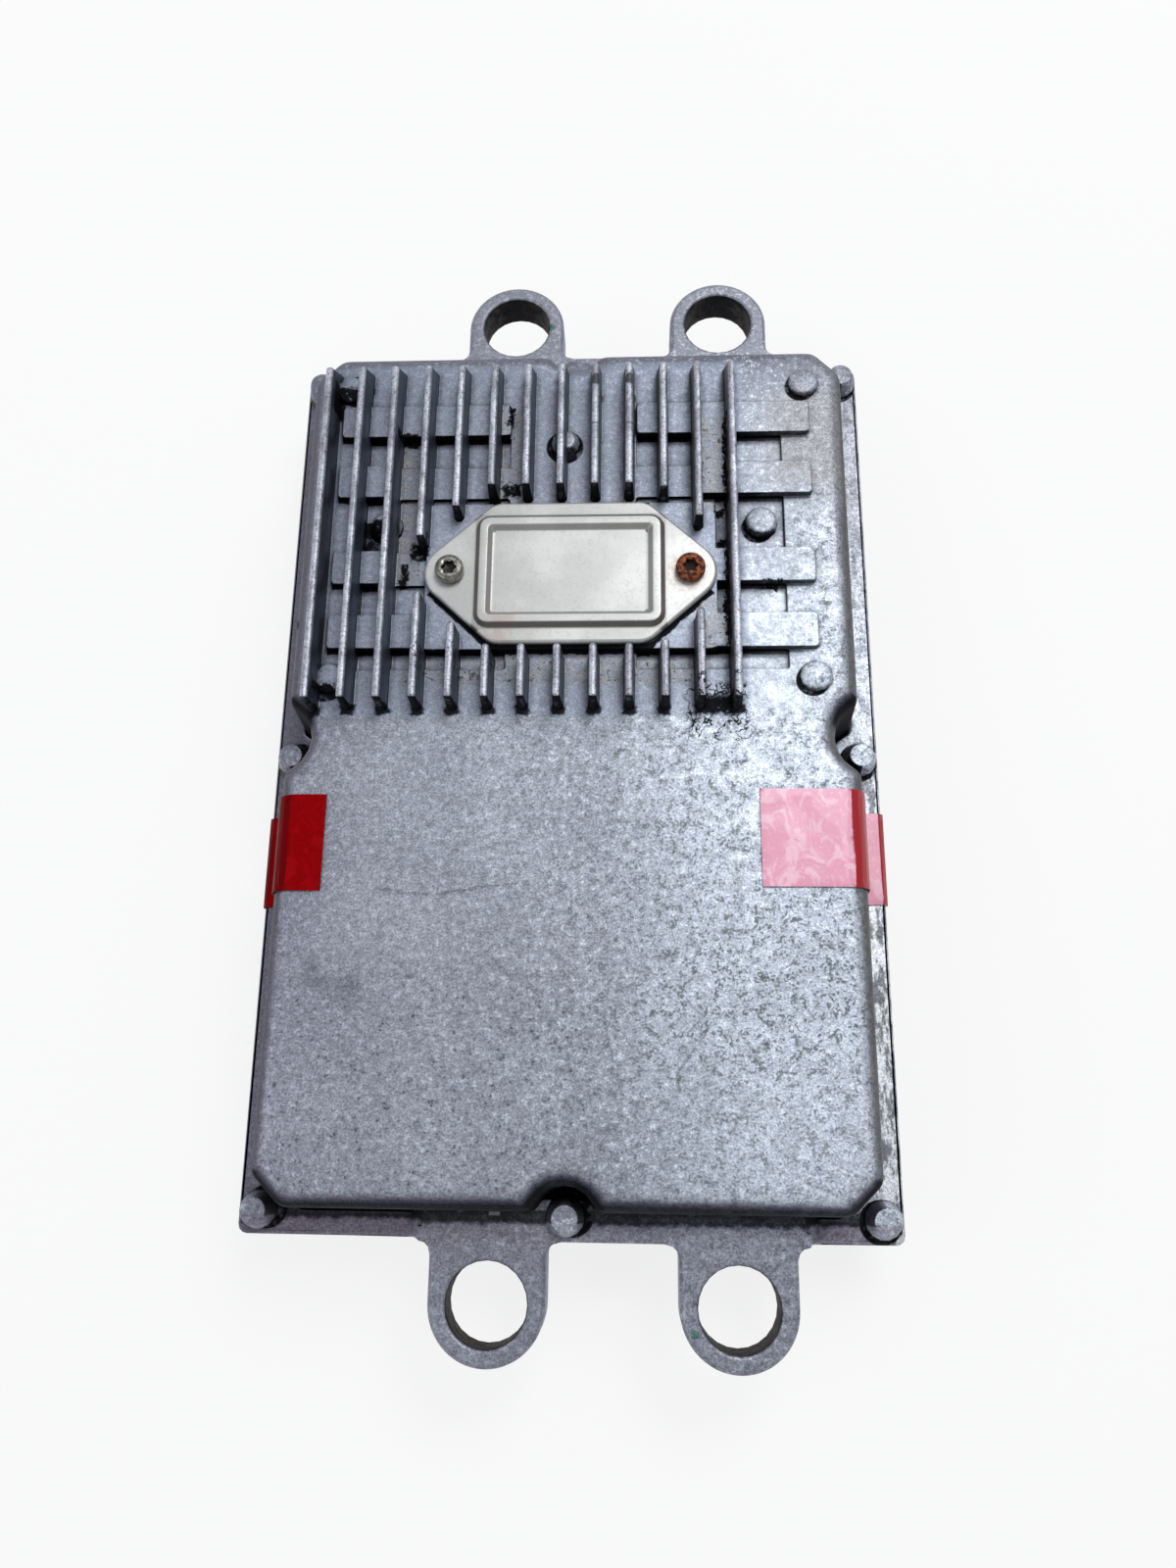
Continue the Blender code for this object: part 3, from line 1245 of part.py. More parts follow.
def build():
    cast = finish("cast_aluminium", (0.42, 0.43, 0.47), 0.5, 0.85)
    tray_cast = finish("tray_aluminium", (0.38, 0.39, 0.42), 0.55, 0.85)
    sheet = finish("pressed_steel", (0.66, 0.64, 0.60), 0.35, 0.9)
    zinc = finish("zinc_plate", (0.55, 0.55, 0.54), 0.4, 0.9)
    rust = finish("rusty_steel", (0.22, 0.09, 0.05), 0.85, 0.2)
    rubber = finish("black_rubber", (0.03, 0.03, 0.03), 0.8, 0.0)
    moulding = finish("black_moulding", (0.035, 0.035, 0.04), 0.5, 0.0)
    brass = finish("contact_brass", (0.7, 0.52, 0.24), 0.35, 0.9)
    laminate = finish("green_laminate", (0.03, 0.16, 0.08), 0.45, 0.0)
    can = finish("capacitor_can", (0.35, 0.36, 0.38), 0.4, 0.7)
    red_film = finish("red_film", (0.6, 0.03, 0.05), 0.35, 0.0)
    pink_film = finish("pink_film", (0.75, 0.3, 0.36), 0.35, 0.0)

    make_base_tray(tray_cast)
    make_perimeter_seal(rubber)
    make_header_seal(rubber)
    make_connector_header(moulding)
    make_pin_blocks(brass)
    make_board("logic_board", logic_board_span(), LOGIC_BOARD_Z, laminate)
    make_board("power_board", power_board_span(), POWER_BOARD_Z, laminate)
    make_board_screws(zinc)
    make_chips(moulding)
    make_terminal_block(moulding)
    make_capacitors(can)
    make_chokes(moulding)
    make_transistors(moulding)
    make_upper_housing(cast)
    make_tray_screws(zinc)
    make_cover_gasket(rubber)
    make_access_cover(sheet)
    make_cover_screws(zinc, rust)
    make_tape("tape_left", -1, LEFT_TAPE_ON_TOP, LEFT_TAPE_FROM_MIDDLE, red_film)
    make_tape("tape_right", 1, RIGHT_TAPE_ON_TOP, RIGHT_TAPE_FROM_MIDDLE, pink_film)


clear_scene()
ASSEMBLY = bpy.data.objects.new("module", None)
bpy.context.collection.objects.link(ASSEMBLY)
build()
bpy.context.view_layer.update()
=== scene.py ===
# %% [markdown]
# # Dressing a fuel injection control module
#
# The module is a flat die-cast aluminium box that has spent years on an engine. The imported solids
# already have its true size and shape. This script gives them the look: rounded casting edges, a
# mottled and stained skin, a satin cover, one clean and one rusty screw, and two strips of tape.
#
# Everything is in metres in the frame of the solids. X runs across the module, Y along it towards the
# finned end, and Z up.

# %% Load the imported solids
import json
import math

import bmesh
import bpy
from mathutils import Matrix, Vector, noise

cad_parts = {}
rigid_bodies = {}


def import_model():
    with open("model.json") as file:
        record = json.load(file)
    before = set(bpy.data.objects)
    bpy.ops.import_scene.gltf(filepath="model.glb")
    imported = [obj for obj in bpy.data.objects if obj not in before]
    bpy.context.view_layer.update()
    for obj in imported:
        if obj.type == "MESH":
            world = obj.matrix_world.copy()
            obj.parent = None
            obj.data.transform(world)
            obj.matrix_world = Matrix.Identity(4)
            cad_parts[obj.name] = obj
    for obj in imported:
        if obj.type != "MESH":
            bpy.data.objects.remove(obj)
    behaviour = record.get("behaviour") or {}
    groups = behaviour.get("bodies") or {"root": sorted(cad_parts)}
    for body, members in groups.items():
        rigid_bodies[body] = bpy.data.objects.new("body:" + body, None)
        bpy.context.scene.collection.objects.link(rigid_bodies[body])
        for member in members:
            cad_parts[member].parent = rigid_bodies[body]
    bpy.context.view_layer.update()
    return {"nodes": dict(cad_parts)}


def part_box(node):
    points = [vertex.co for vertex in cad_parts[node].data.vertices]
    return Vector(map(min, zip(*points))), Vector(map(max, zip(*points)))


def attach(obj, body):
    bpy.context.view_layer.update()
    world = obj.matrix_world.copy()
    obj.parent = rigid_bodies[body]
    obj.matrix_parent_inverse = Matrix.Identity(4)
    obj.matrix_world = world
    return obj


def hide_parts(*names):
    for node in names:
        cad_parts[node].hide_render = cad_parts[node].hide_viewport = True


for item in list(bpy.data.objects):
    bpy.data.objects.remove(item, do_unlink=True)

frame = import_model()
nodes = frame["nodes"]

# %% [markdown]
# ## Sizes that the finish needs
#
# Stains and worn places sit on known features, so a few sizes of the casting are repeated here. They
# are in millimetres, because a material that works in millimetres is easier to read.

# %% Name the sizes, in millimetres
MM = 0.001
FLANGE_TOP = 23.0
EAR_TOP = 30.2
BODY_TOP = 46.8
BAR_TOP = 48.5
FIN_TOP = 56.0
COVER_TOP = 50.8
FIRST_FIN_X = -64.5
FIN_PITCH = 8.8
FIN_NEAR_Y = 7.2
COVER_MIDDLE = (-0.3, 43.2)
COVER_SCREWS = {"left": (-30.7, 43.2), "right": (30.1, 43.2)}
EARS = [(-18.1, -131.7), (40.1, -131.7), (-18.1, 131.7), (40.1, 131.7)]
EAR_BORE_RADIUS = 9.5
print("ears:", len(EARS))

# %% [markdown]
# ## The camera
#
# The photograph was taken from close above the near half, tilted a little. The place, the turn and the
# lens come from fitting the corners of the flange and the four ear bores, so the render lines up with it.

# %% Set up the camera
camera_data = bpy.data.cameras.new("photo_camera")
camera_data.lens = 26.363
camera_data.sensor_width = 36.0
camera_data.shift_x = 0.00834
camera_data.shift_y = 0.00667
camera_data.clip_start = 0.01
camera = bpy.data.objects.new("photo_camera", camera_data)
camera.location = (0.01523, -0.08919, 0.31472)
camera.rotation_mode = "YXZ"
camera.rotation_euler = (0.272155426, 0.0486678768, 0.000608242)
bpy.context.collection.objects.link(camera)
bpy.context.scene.camera = camera
print("camera at", tuple(camera.location))

# %% [markdown]
# ## Node maths as plain Python
#
# A material with many stains needs a lot of shader maths. Adding Math nodes one by one is long to read,
# so a small class wraps a socket, and the usual operators add the nodes. The same method makes every
# other node from its type, its settings and its inputs.


# %% Wrap a socket so that Python operators add Math nodes
class Wire:
    """One output socket of a material. Arithmetic on it adds Math nodes."""

    def __init__(self, finish, socket):
        self.finish = finish
        self.socket = socket

    def maths(self, operation, first, second):
        return self.finish.node("ShaderNodeMath", {"operation": operation}, {0: first, 1: second})

    def __add__(self, other):
        return self.maths("ADD", self, other)

    def __radd__(self, other):
        return self.maths("ADD", other, self)

    def __sub__(self, other):
        return self.maths("SUBTRACT", self, other)

    def __rsub__(self, other):
        return self.maths("SUBTRACT", other, self)

    def __mul__(self, other):
        return self.maths("MULTIPLY", self, other)

    def __rmul__(self, other):
        return self.maths("MULTIPLY", other, self)

    def __abs__(self):
        return self.maths("ABSOLUTE", self, 0.0)

    def either(self, other):
        """The larger of two masks."""
        return self.maths("MAXIMUM", self, other)


# %% [markdown]
# A finish is one material. It knows where it is on the object, in millimetres, and which way the
# surface faces, and it can draw noise and masks: a band between two values, a disc, a box or a line.


# %% Describe one finish
def tone(red, green, blue):
    """A colour as it is seen on a screen, from 0 to 255, turned into the linear values of a shader."""
    linear = []
    for value in (red, green, blue):
        share = value / 255
        linear.append(share / 12.92 if share <= 0.04045 else ((share + 0.055) / 1.055) ** 2.4)
    return (*linear, 1.0)


class Finish:
    """A procedural material that works in the millimetres of the object."""

    def __init__(self, name):
        self.material = bpy.data.materials.new(name)
        self.material.use_nodes = True
        self.tree = self.material.node_tree
        self.shader = self.tree.nodes["Principled BSDF"]
        self.coordinates = self.node("ShaderNodeTexCoord", {}, {}, "Object")
        self.place = self.scaled((1.0, 1.0, 1.0), 0.0)
        self.x = self.node("ShaderNodeSeparateXYZ", {}, {0: self.place}, "X")
        self.y = self.node("ShaderNodeSeparateXYZ", {}, {0: self.place}, "Y")
        self.z = self.node("ShaderNodeSeparateXYZ", {}, {0: self.place}, "Z")
        self.plan = self.node("ShaderNodeCombineXYZ", {}, {"X": self.x, "Y": self.y})
        self.normal = self.node("ShaderNodeNewGeometry", {}, {}, "Normal")
        self.facing_x = self.node("ShaderNodeSeparateXYZ", {}, {0: self.normal}, "X")
        self.facing_y = self.node("ShaderNodeSeparateXYZ", {}, {0: self.normal}, "Y")
        self.facing_z = self.node("ShaderNodeSeparateXYZ", {}, {0: self.normal}, "Z")

    def node(self, kind, settings, inputs, output=0):
        """Any node: its type, its settings, and the values or wires of its inputs."""
        made = self.tree.nodes.new(kind)
        for name, value in settings.items():
            if name == "stops":
                ramp = made.color_ramp
                while len(ramp.elements) < len(value):
                    ramp.elements.new(0.5)
                for element, (position, colour) in zip(ramp.elements, value):
                    element.position = position
                    element.color = colour
            else:
                setattr(made, name, value)
        for key, value in inputs.items():
            if isinstance(value, Wire):
                self.tree.links.new(value.socket, made.inputs[key])
            else:
                made.inputs[key].default_value = value
        return Wire(self, made.outputs[output])

    def vector(self, operation, inputs, output="Vector"):
        """Vector Math."""
        return self.node("ShaderNodeVectorMath", {"operation": operation}, inputs, output)

    def scaled(self, per_millimetre, shift):
        """Where this point is, in millimetres times a factor, moved along by shift."""
        scale = tuple(value / MM for value in per_millimetre)
        away = (shift, shift * 1.7, shift * 2.3)
        inputs = {"Vector": self.coordinates, "Location": away, "Scale": scale}
        return self.node("ShaderNodeMapping", {}, inputs)

    def noise(self, size, detail=2.0, roughness=0.5, stretch=(1, 1, 1), shift=0.0, distortion=0.0):
        """Noise whose spots are about size millimetres across."""
        spot = self.scaled([value / size for value in stretch], shift)
        inputs = {"Vector": spot, "Scale": 1.0, "Detail": detail, "Roughness": roughness}
        inputs["Distortion"] = distortion
        return self.node("ShaderNodeTexNoise", {}, inputs, 0)

    def between(self, value, low, high):
        """0 below low and 1 above high, with a soft step. low may be the larger one."""
        settings = {"interpolation_type": "SMOOTHSTEP", "clamp": False}
        inputs = {"Value": value, "From Min": low, "From Max": high}
        return self.node("ShaderNodeMapRange", settings, inputs)

    def band(self, value, low, high, soft):
        """1 from low to high, fading over soft on both sides."""
        return self.between(value, low - soft, low) * self.between(value, high + soft, high)

    def disc(self, centre, radius, soft):
        """1 inside a round spot of the plan."""
        distance = self.vector("DISTANCE", {0: self.plan, 1: (*centre, 0.0)}, "Value")
        return self.between(distance, radius + soft, radius)

    def box(self, x0, x1, y0, y1, soft):
        """1 inside a rectangle of the plan."""
        return self.band(self.x, x0, x1, soft) * self.band(self.y, y0, y1, soft)

    def line(self, start, end, width, soft, wobble=None):
        """1 within width of a straight line in plan."""
        span = (end[0] - start[0], end[1] - start[1])
        length = math.hypot(*span)
        along = (span[0] / length, span[1] / length, 0.0)
        offset = self.vector("SUBTRACT", {0: self.plan, 1: (*start, 0.0)})
        reach = self.vector("DOT_PRODUCT", {0: offset, 1: along}, "Value")
        side = abs(self.vector("DOT_PRODUCT", {0: offset, 1: (-along[1], along[0], 0.0)}, "Value"))
        if wobble is not None:
            side = abs(side + wobble)
        return self.between(side, width + soft, width) * self.band(reach, 0.0, length, soft)

    def blend(self, amount, first, second):
        """A colour that goes from first to second as amount goes from 0 to 1."""
        settings = {"data_type": "RGBA"}
        return self.node("ShaderNodeMix", settings, {0: amount, 6: first, 7: second}, 2)

    def ring(self, centre, low, high, soft):
        """1 between two radii about a place in the plan."""
        distance = self.vector("DISTANCE", {0: self.plan, 1: (*centre, 0.0)}, "Value")
        return self.band(distance, low, high, soft)

    def shade(self, **inputs):
        """Set or link the inputs of the surface shader."""
        for name, value in inputs.items():
            socket = self.shader.inputs[name.replace("_", " ")]
            if isinstance(value, Wire):
                self.tree.links.new(value.socket, socket)
            else:
                socket.default_value = value

    def rough_surface(self, height, depth):
        """Relief from a height, whose full range is depth millimetres."""
        bump = self.node("ShaderNodeBump", {}, {"Strength": 1.0, "Distance": depth * MM, "Height": height})
        self.shade(Normal=bump)


print("finish tools ready")

# %% [markdown]
# ## Floor, background and light
#
# A plain pale floor and three large soft lamps give the even light of a product photograph. The
# brightest lamp hangs behind the right side, where the photograph has its broad sheen. Camera rays see
# a white background, and the floor stays soft enough to keep the shadow.

# %% Make the floor and the background
FLOOR_HALF = 3.0
FLOOR_DROP = 0.0003
floor_mesh = bpy.data.meshes.new("floor")
corners = [(-FLOOR_HALF, -FLOOR_HALF, 0), (FLOOR_HALF, -FLOOR_HALF, 0), (FLOOR_HALF, FLOOR_HALF, 0)]
corners.append((-FLOOR_HALF, FLOOR_HALF, 0))
floor_mesh.from_pydata(corners, [], [(0, 1, 2, 3)])
floor = bpy.data.objects.new("floor", floor_mesh)
floor.location.z = -FLOOR_DROP
bpy.context.collection.objects.link(floor)

paper = Finish("pale_floor")
paper.shade(Base_Color=tone(235, 235, 236), Roughness=0.9)
light_path = paper.tree.nodes.new("ShaderNodeLightPath")
camera_ray = Wire(paper, light_path.outputs["Is Camera Ray"])
glossy_ray = Wire(paper, light_path.outputs["Is Glossy Ray"])
seen = camera_ray.either(glossy_ray)
glow = paper.node("ShaderNodeEmission", {}, {"Color": (1, 1, 1, 1), "Strength": 1.0})
surface = Wire(paper, paper.shader.outputs["BSDF"])
distance = paper.vector("LENGTH", {0: paper.plan}, "Value")
far_away = paper.between(distance, 220.0, 650.0)
mixed = paper.node("ShaderNodeMixShader", {}, {0: seen * (0.8 + 0.2 * far_away), 1: surface, 2: glow})
output = paper.tree.nodes["Material Output"]
paper.tree.links.new(mixed.socket, output.inputs["Surface"])
floor_mesh.materials.append(paper.material)

world = bpy.data.worlds.new("studio")
world.use_nodes = True
bpy.context.scene.world = world
world_nodes = world.node_tree.nodes
world_path = world_nodes.new("ShaderNodeLightPath")
lit = world_nodes["Background"]
lit.inputs["Color"].default_value = (0.95, 0.97, 1.0, 1.0)
lit.inputs["Strength"].default_value = 0.42
white = world_nodes.new("ShaderNodeBackground")
white.inputs["Color"].default_value = (1, 1, 1, 1)
white.inputs["Strength"].default_value = 1.0
choose = world_nodes.new("ShaderNodeMixShader")
links = world.node_tree.links
links.new(world_path.outputs["Is Camera Ray"], choose.inputs[0])
links.new(lit.outputs[0], choose.inputs[1])
links.new(white.outputs[0], choose.inputs[2])
links.new(choose.outputs[0], world_nodes["World Output"].inputs["Surface"])
print("floor and background made")


# %% Hang the lamps
def softbox(name, place, size, power, colour):
    """A square lamp that looks at the middle of the module."""
    lamp_data = bpy.data.lights.new(name, "AREA")
    lamp_data.size = size
    lamp_data.energy = power
    lamp_data.color = colour
    lamp = bpy.data.objects.new(name, lamp_data)
    lamp.location = place
    lamp.rotation_euler = (Vector((0, 0, 0.03)) - lamp.location).to_track_quat("-Z", "Y").to_euler()
    bpy.context.collection.objects.link(lamp)


softbox("key_lamp", (0.30, 0.45, 0.95), 0.5, 6.0, (1.0, 1.0, 1.0))
softbox("fill_lamp", (-0.75, -0.2, 0.75), 0.7, 2.2, (0.95, 0.96, 1.0))
softbox("near_lamp", (0.2, -0.9, 0.6), 0.7, 0.6, (1.0, 0.98, 0.96))
bpy.context.scene.view_settings.view_transform = "Standard"

# %% [markdown]
# ## Rounded casting edges
#
# No edge of a die casting is sharp, and the light that runs along a rounded edge is most of what tells
# the eye that it is cast. A Bevel modifier would work on a clean mesh. These solids come from Boolean
# cuts, so a copy is first welded, its flat regions are merged and cut into triangles again, and slivers
# are closed up. Then one bevel rounds the outer edges and fills the inner corners, as a mould does.
# Weighted normals keep the flat faces flat.


# %% Give round features more sides
ON_RING = 0.03
LEVEL_ENOUGH = 0.9


def ring_corners(cast, centre, radius, height):
    """The corners that lie on a circle about an upright axis."""
    found = []
    for one in cast.verts:
        away = math.dist((one.co.x / MM, one.co.y / MM), centre)
        if abs(away - radius) < ON_RING and abs(one.co.z / MM - height) < ON_RING:
            found.append(one)
    return found


def make_rounder(cast, centre, rings):
    """Divide the edges of rings about an upright axis and put their corners on a true circle.

    Each ring is the radius and height that it has, then the radius and height that it should have.
    A level face inside a ring gets a corner in its middle, so that it is shaded as one flat face.
    """
    for old_radius, old_height, radius, height in rings:
        corners = set(ring_corners(cast, centre, old_radius, old_height))
        edges = [one for one in cast.edges if one.verts[0] in corners and one.verts[1] in corners]
        made = bmesh.ops.subdivide_edges(cast, edges=edges, cuts=2)
        corners = set(ring_corners(cast, centre, old_radius, old_height))
        corners.update(one for one in made["geom_inner"] if isinstance(one, bmesh.types.BMVert))
        for one in corners:
            if not one.is_valid:
                continue
            angle = math.atan2(one.co.y / MM - centre[1], one.co.x / MM - centre[0])
            one.co.x = (centre[0] + radius * math.cos(angle)) * MM
            one.co.y = (centre[1] + radius * math.sin(angle)) * MM
            one.co.z = height * MM
        level = [face for face in cast.faces if face.normal.z > LEVEL_ENOUGH]
        lids = [face for face in level if all(one in corners for one in face.verts)]
        bmesh.ops.poke(cast, faces=lids)


# %% Round the edges of a copy
WELD = 1e-6
FLAT_WITHIN = math.radians(0.6)
SLIVER = 0.12
ROUNDING_STEPS = 2


def recast(name, new_name, material, edge, sharp=38.0, round_places=()):
    """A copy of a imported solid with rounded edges, which stands in for it."""
    cast = bmesh.new()
    cast.from_mesh(nodes[name].data)
    bmesh.ops.remove_doubles(cast, verts=cast.verts, dist=WELD)
    bmesh.ops.dissolve_limit(cast, angle_limit=FLAT_WITHIN, verts=cast.verts, edges=cast.edges)
    for centre, rings in round_places:
        make_rounder(cast, centre, rings)
    bmesh.ops.triangulate(cast, faces=cast.faces[:])
    bmesh.ops.dissolve_degenerate(cast, dist=SLIVER * MM, edges=cast.edges)
    limit = math.radians(sharp)
    corners = [one for one in cast.edges if len(one.link_faces) == 2 and one.calc_face_angle() > limit]
    bmesh.ops.bevel(
        cast,
        geom=corners,
        offset=edge * MM,
        offset_type="OFFSET",
        segments=ROUNDING_STEPS,
        profile=0.5,
        affect="EDGES",
        clamp_overlap=False,
        loop_slide=True,
    )
    many_sided = [face for face in cast.faces if len(face.verts) > 4]
    bmesh.ops.triangulate(cast, faces=many_sided)
    mesh = bpy.data.meshes.new(new_name)
    cast.to_mesh(mesh)
    cast.free()
    mesh.shade_smooth()
    mesh.set_sharp_from_angle(angle=math.radians(50))
    stand_in(mesh, new_name, name, material)


def stand_in(mesh, new_name, name, material):
    """Link a new piece, give it its finish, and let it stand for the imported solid."""
    mesh.materials.clear()
    mesh.materials.append(material)
    piece = bpy.data.objects.new(new_name, mesh)
    bpy.context.collection.objects.link(piece)
    weighted = piece.modifiers.new("weighted_normals", "WEIGHTED_NORMAL")
    weighted.keep_sharp = True
    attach(piece, "root")
    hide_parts(name)
    print(new_name, "faces:", len(mesh.polygons))


# %% [markdown]
# ## Cast aluminium, stained by years on an engine
#
# The photograph shows a cool grey skin with a fine light and dark speckle. It is strongest on the right,
# where the metal is rubbed bright, and calm and a little purple on the left. So the colour is built in
# layers: clouds first, then a painted sheen on the right, a highlight painted into the colour, then the
# speckle with a strength that depends on the place, and a fine grain over all of it.

# %% Mix the speckled grey of the casting
cast = Finish("cast_aluminium")
clouds = cast.noise(26.0, 3.0)
drift = cast.noise(70.0, 2.0, shift=3.0)
grain = cast.noise(0.7, 2.0, 0.6)
blotches = cast.noise(2.6, 4.0, 0.72, shift=7.0)
flecks = cast.noise(1.5, 4.0, 0.75, shift=19.0)
ragged = cast.noise(2.6, 3.0, 0.6, shift=41.0)
up = cast.between(cast.facing_z, 0.55, 0.85)
to_right = cast.between(cast.x + clouds * 40.0, -30.0, 68.0)
to_left = cast.between(cast.x + clouds * 20.0, -25.0, -80.0)

grey = cast.blend(cast.between(clouds, 0.35, 0.65), tone(149, 154, 167), tone(163, 169, 181))
grey = cast.blend(cast.between(drift, 0.4, 0.62) * 0.4, grey, tone(152, 154, 167))
grey = cast.blend(to_left * 0.7, grey, tone(127, 126, 143))
# Painted highlight: a broad sheen on the right side, and more painted light in the near right corner.
painted_sheen = cast.box(38.0, 78.0, -112.0, 28.0, 34.0).either(cast.box(62.0, 74.0, 20.0, 70.0, 10.0) * 0.25)
grey = cast.blend(painted_sheen * 0.68, grey, tone(196, 206, 220))
grey = cast.blend(cast.box(46.0, 72.0, -104.0, -74.0, 14.0) * 0.5, grey, tone(214, 223, 238))
grey = cast.blend(cast.between(cast.y, 94.0, 110.0) * 0.8, grey, tone(110, 113, 129))

calm = cast.between(cast.y, FIN_NEAR_Y - 4.0, FIN_NEAR_Y + 4.0) * cast.between(cast.x, 64.0, 52.0)
near_corner = cast.between(cast.y, -68.0, -90.0)
speckle_strength = (0.30 + 0.6 * to_right * (1.0 - 0.4 * near_corner)) * (1.0 - 0.6 * calm)
dark_specks = cast.between(blotches * 0.55 + grain * 0.45, 0.505, 0.575) * speckle_strength
light_specks = cast.between(flecks * 0.6 + grain * 0.4, 0.52, 0.61) * (0.3 + 0.5 * to_right)
skin = cast.blend(light_specks, grey, tone(221, 229, 239))
skin = cast.blend(dark_specks, skin, tone(90, 98, 102))
mottle = cast.between(cast.noise(4.2, 4.0, 0.7, shift=11.0), 0.46, 0.64) * (1.0 - calm)
skin = cast.blend(mottle * 0.3, skin, tone(120, 124, 132))
print("speckled skin mixed")

# %% [markdown]
# Near the bottom left the skin is full of small dark pits, and the right side is rubbed almost white
# between dark flecks. The pits are the cells of a Voronoi texture, each with a dark round centre, and
# noise decides which of them show. The worn places are noise kept inside soft boxes.

# %% Add pits and worn patches
pit_spot = cast.scaled((0.72, 0.72, 0.72), 3.0)
pit_inputs = {"Vector": pit_spot, "Scale": 1.0}
pit_core = cast.node("ShaderNodeTexVoronoi", {"feature": "F1"}, pit_inputs, "Distance")
pit_place = cast.box(-64.0, 0.0, -104.0, -70.0, 26.0)
pit_amount = cast.between(blotches + (ragged - 0.5) * 0.6, 0.42, 0.6) * pit_place * up
pits = cast.between(pit_core + (grain - 0.5) * 1.2, 0.36, 0.12) * pit_amount
skin = cast.blend(pits * 0.78, skin, tone(64, 64, 73))

worn_noise = cast.noise(6.0, 5.0, 0.7, shift=17.0)
worn_place = cast.box(46.0, 72.0, -30.0, 40.0, 14.0).either(cast.box(20.0, 70.0, -14.0, 8.0, 12.0) * 0.5)
worn_place = worn_place.either(cast.box(62.0, 70.0, 20.0, 72.0, 5.0) * 0.4)
worn = cast.between(worn_noise + (grain - 0.5) * 0.2, 0.48, 0.62) * worn_place * up
skin = cast.blend(worn * 0.62, skin, tone(226, 235, 243))
print("pits and worn patches added")

# %% [markdown]
# ## Fins and relief
#
# The fins' sides get painted shade, and their tops a painted highlight. The sides that face right are
# shaded blue-grey, and those that face left are shaded brown with a black foot. The floors between the
# fins are a cleaner, bluer grey.

# %% Paint shade on the fins' sides and tint the floors between them
fin_zone = cast.box(-68.0, 44.0, FIN_NEAR_Y - 1.0, 106.0, 1.0)
fin_phase = cast.x - (FIRST_FIN_X - 4 * FIN_PITCH)
from_fin = cast.node("ShaderNodeMath", {"operation": "PINGPONG"}, {0: fin_phase, 1: FIN_PITCH / 2})
at_fin = cast.between(from_fin, 2.1, 1.6) * fin_zone
above_floor = cast.between(cast.z, BODY_TOP - 0.6, BODY_TOP + 0.4)
streaks = cast.noise(5.0, 3.0, 0.6, stretch=(1, 0.25, 1.6), shift=31.0)
right_side = cast.between(cast.facing_x, 0.5, 0.8) * at_fin * above_floor
left_side = cast.between(cast.facing_x, -0.5, -0.8) * at_fin * above_floor
# Painted shade: blue-grey on the fins' right sides, brown with a black foot on their left sides.
right_fin_shade_colour = cast.blend(cast.between(streaks, 0.38, 0.66), tone(40, 45, 60), tone(80, 88, 108))
first_gutter_shade = cast.between(cast.x, FIRST_FIN_X + 6.0, FIRST_FIN_X + 2.0)
right_fin_shade_colour = cast.blend(first_gutter_shade * 0.7, right_fin_shade_colour, tone(27, 30, 44))
left_fin_shade_colour = cast.blend(cast.between(streaks, 0.36, 0.64), tone(66, 58, 56), tone(112, 105, 102))
left_fin_foot_shade = cast.between(cast.z, BODY_TOP + 4.6, BODY_TOP + 2.6)
left_fin_shade_colour = cast.blend(left_fin_foot_shade, left_fin_shade_colour, tone(9, 9, 11))

floor_blue = fin_zone * up * cast.between(cast.z, BAR_TOP + 0.4, BAR_TOP)
skin = cast.blend(floor_blue * 0.55, skin, tone(146, 156, 176))
skin = cast.blend(right_side * 0.95, skin, right_fin_shade_colour)
skin = cast.blend(left_side * 0.95, skin, left_fin_shade_colour)
print("fin sides finished")

# %% Paint a highlight along the fins' tops, with a dark nick in two of them
# Painted highlight along the fins' tops, with dark specks in it.
crown_highlight = at_fin * cast.between(cast.z, FIN_TOP - 1.3, FIN_TOP - 0.3)
crown_noise = cast.noise(3.4, 4.0, 0.7, stretch=(1, 0.5, 1), shift=37.0)
crown_highlight_colour = cast.blend(cast.between(crown_noise, 0.38, 0.60), tone(148, 150, 162), tone(200, 203, 215))
crown_highlight_colour = cast.blend(cast.between(grain, 0.54, 0.64) * 0.6, crown_highlight_colour, tone(74, 70, 75))
skin = cast.blend(crown_highlight * 0.9, skin, crown_highlight_colour)
nicks = cast.disc((6.3, 95.5), 1.4, 0.5).either(cast.disc((15.1, 95.5), 1.4, 0.5))
first_line = cast.line((4.5, 82.4), (8.5, 82.4), 0.2, 0.3)
nick_lines = first_line.either(cast.line((13.3, 82.3), (17.3, 82.3), 0.2, 0.3))
nick = (nicks * 0.85).either(nick_lines * 0.5) * at_fin
skin = cast.blend(nick, skin, tone(30, 28, 32))
print("fin tops finished")

# %% [markdown]
# The walls round the body catch little light, so shade is painted on them: navy to black on the near
# side, purple-grey on the left and brown-grey on the right, and always darkest at the foot. How far the
# surface has turned away from level says where the wall begins, so the painted shade follows the rounded
# shoulder, and a painted highlight runs along its top.

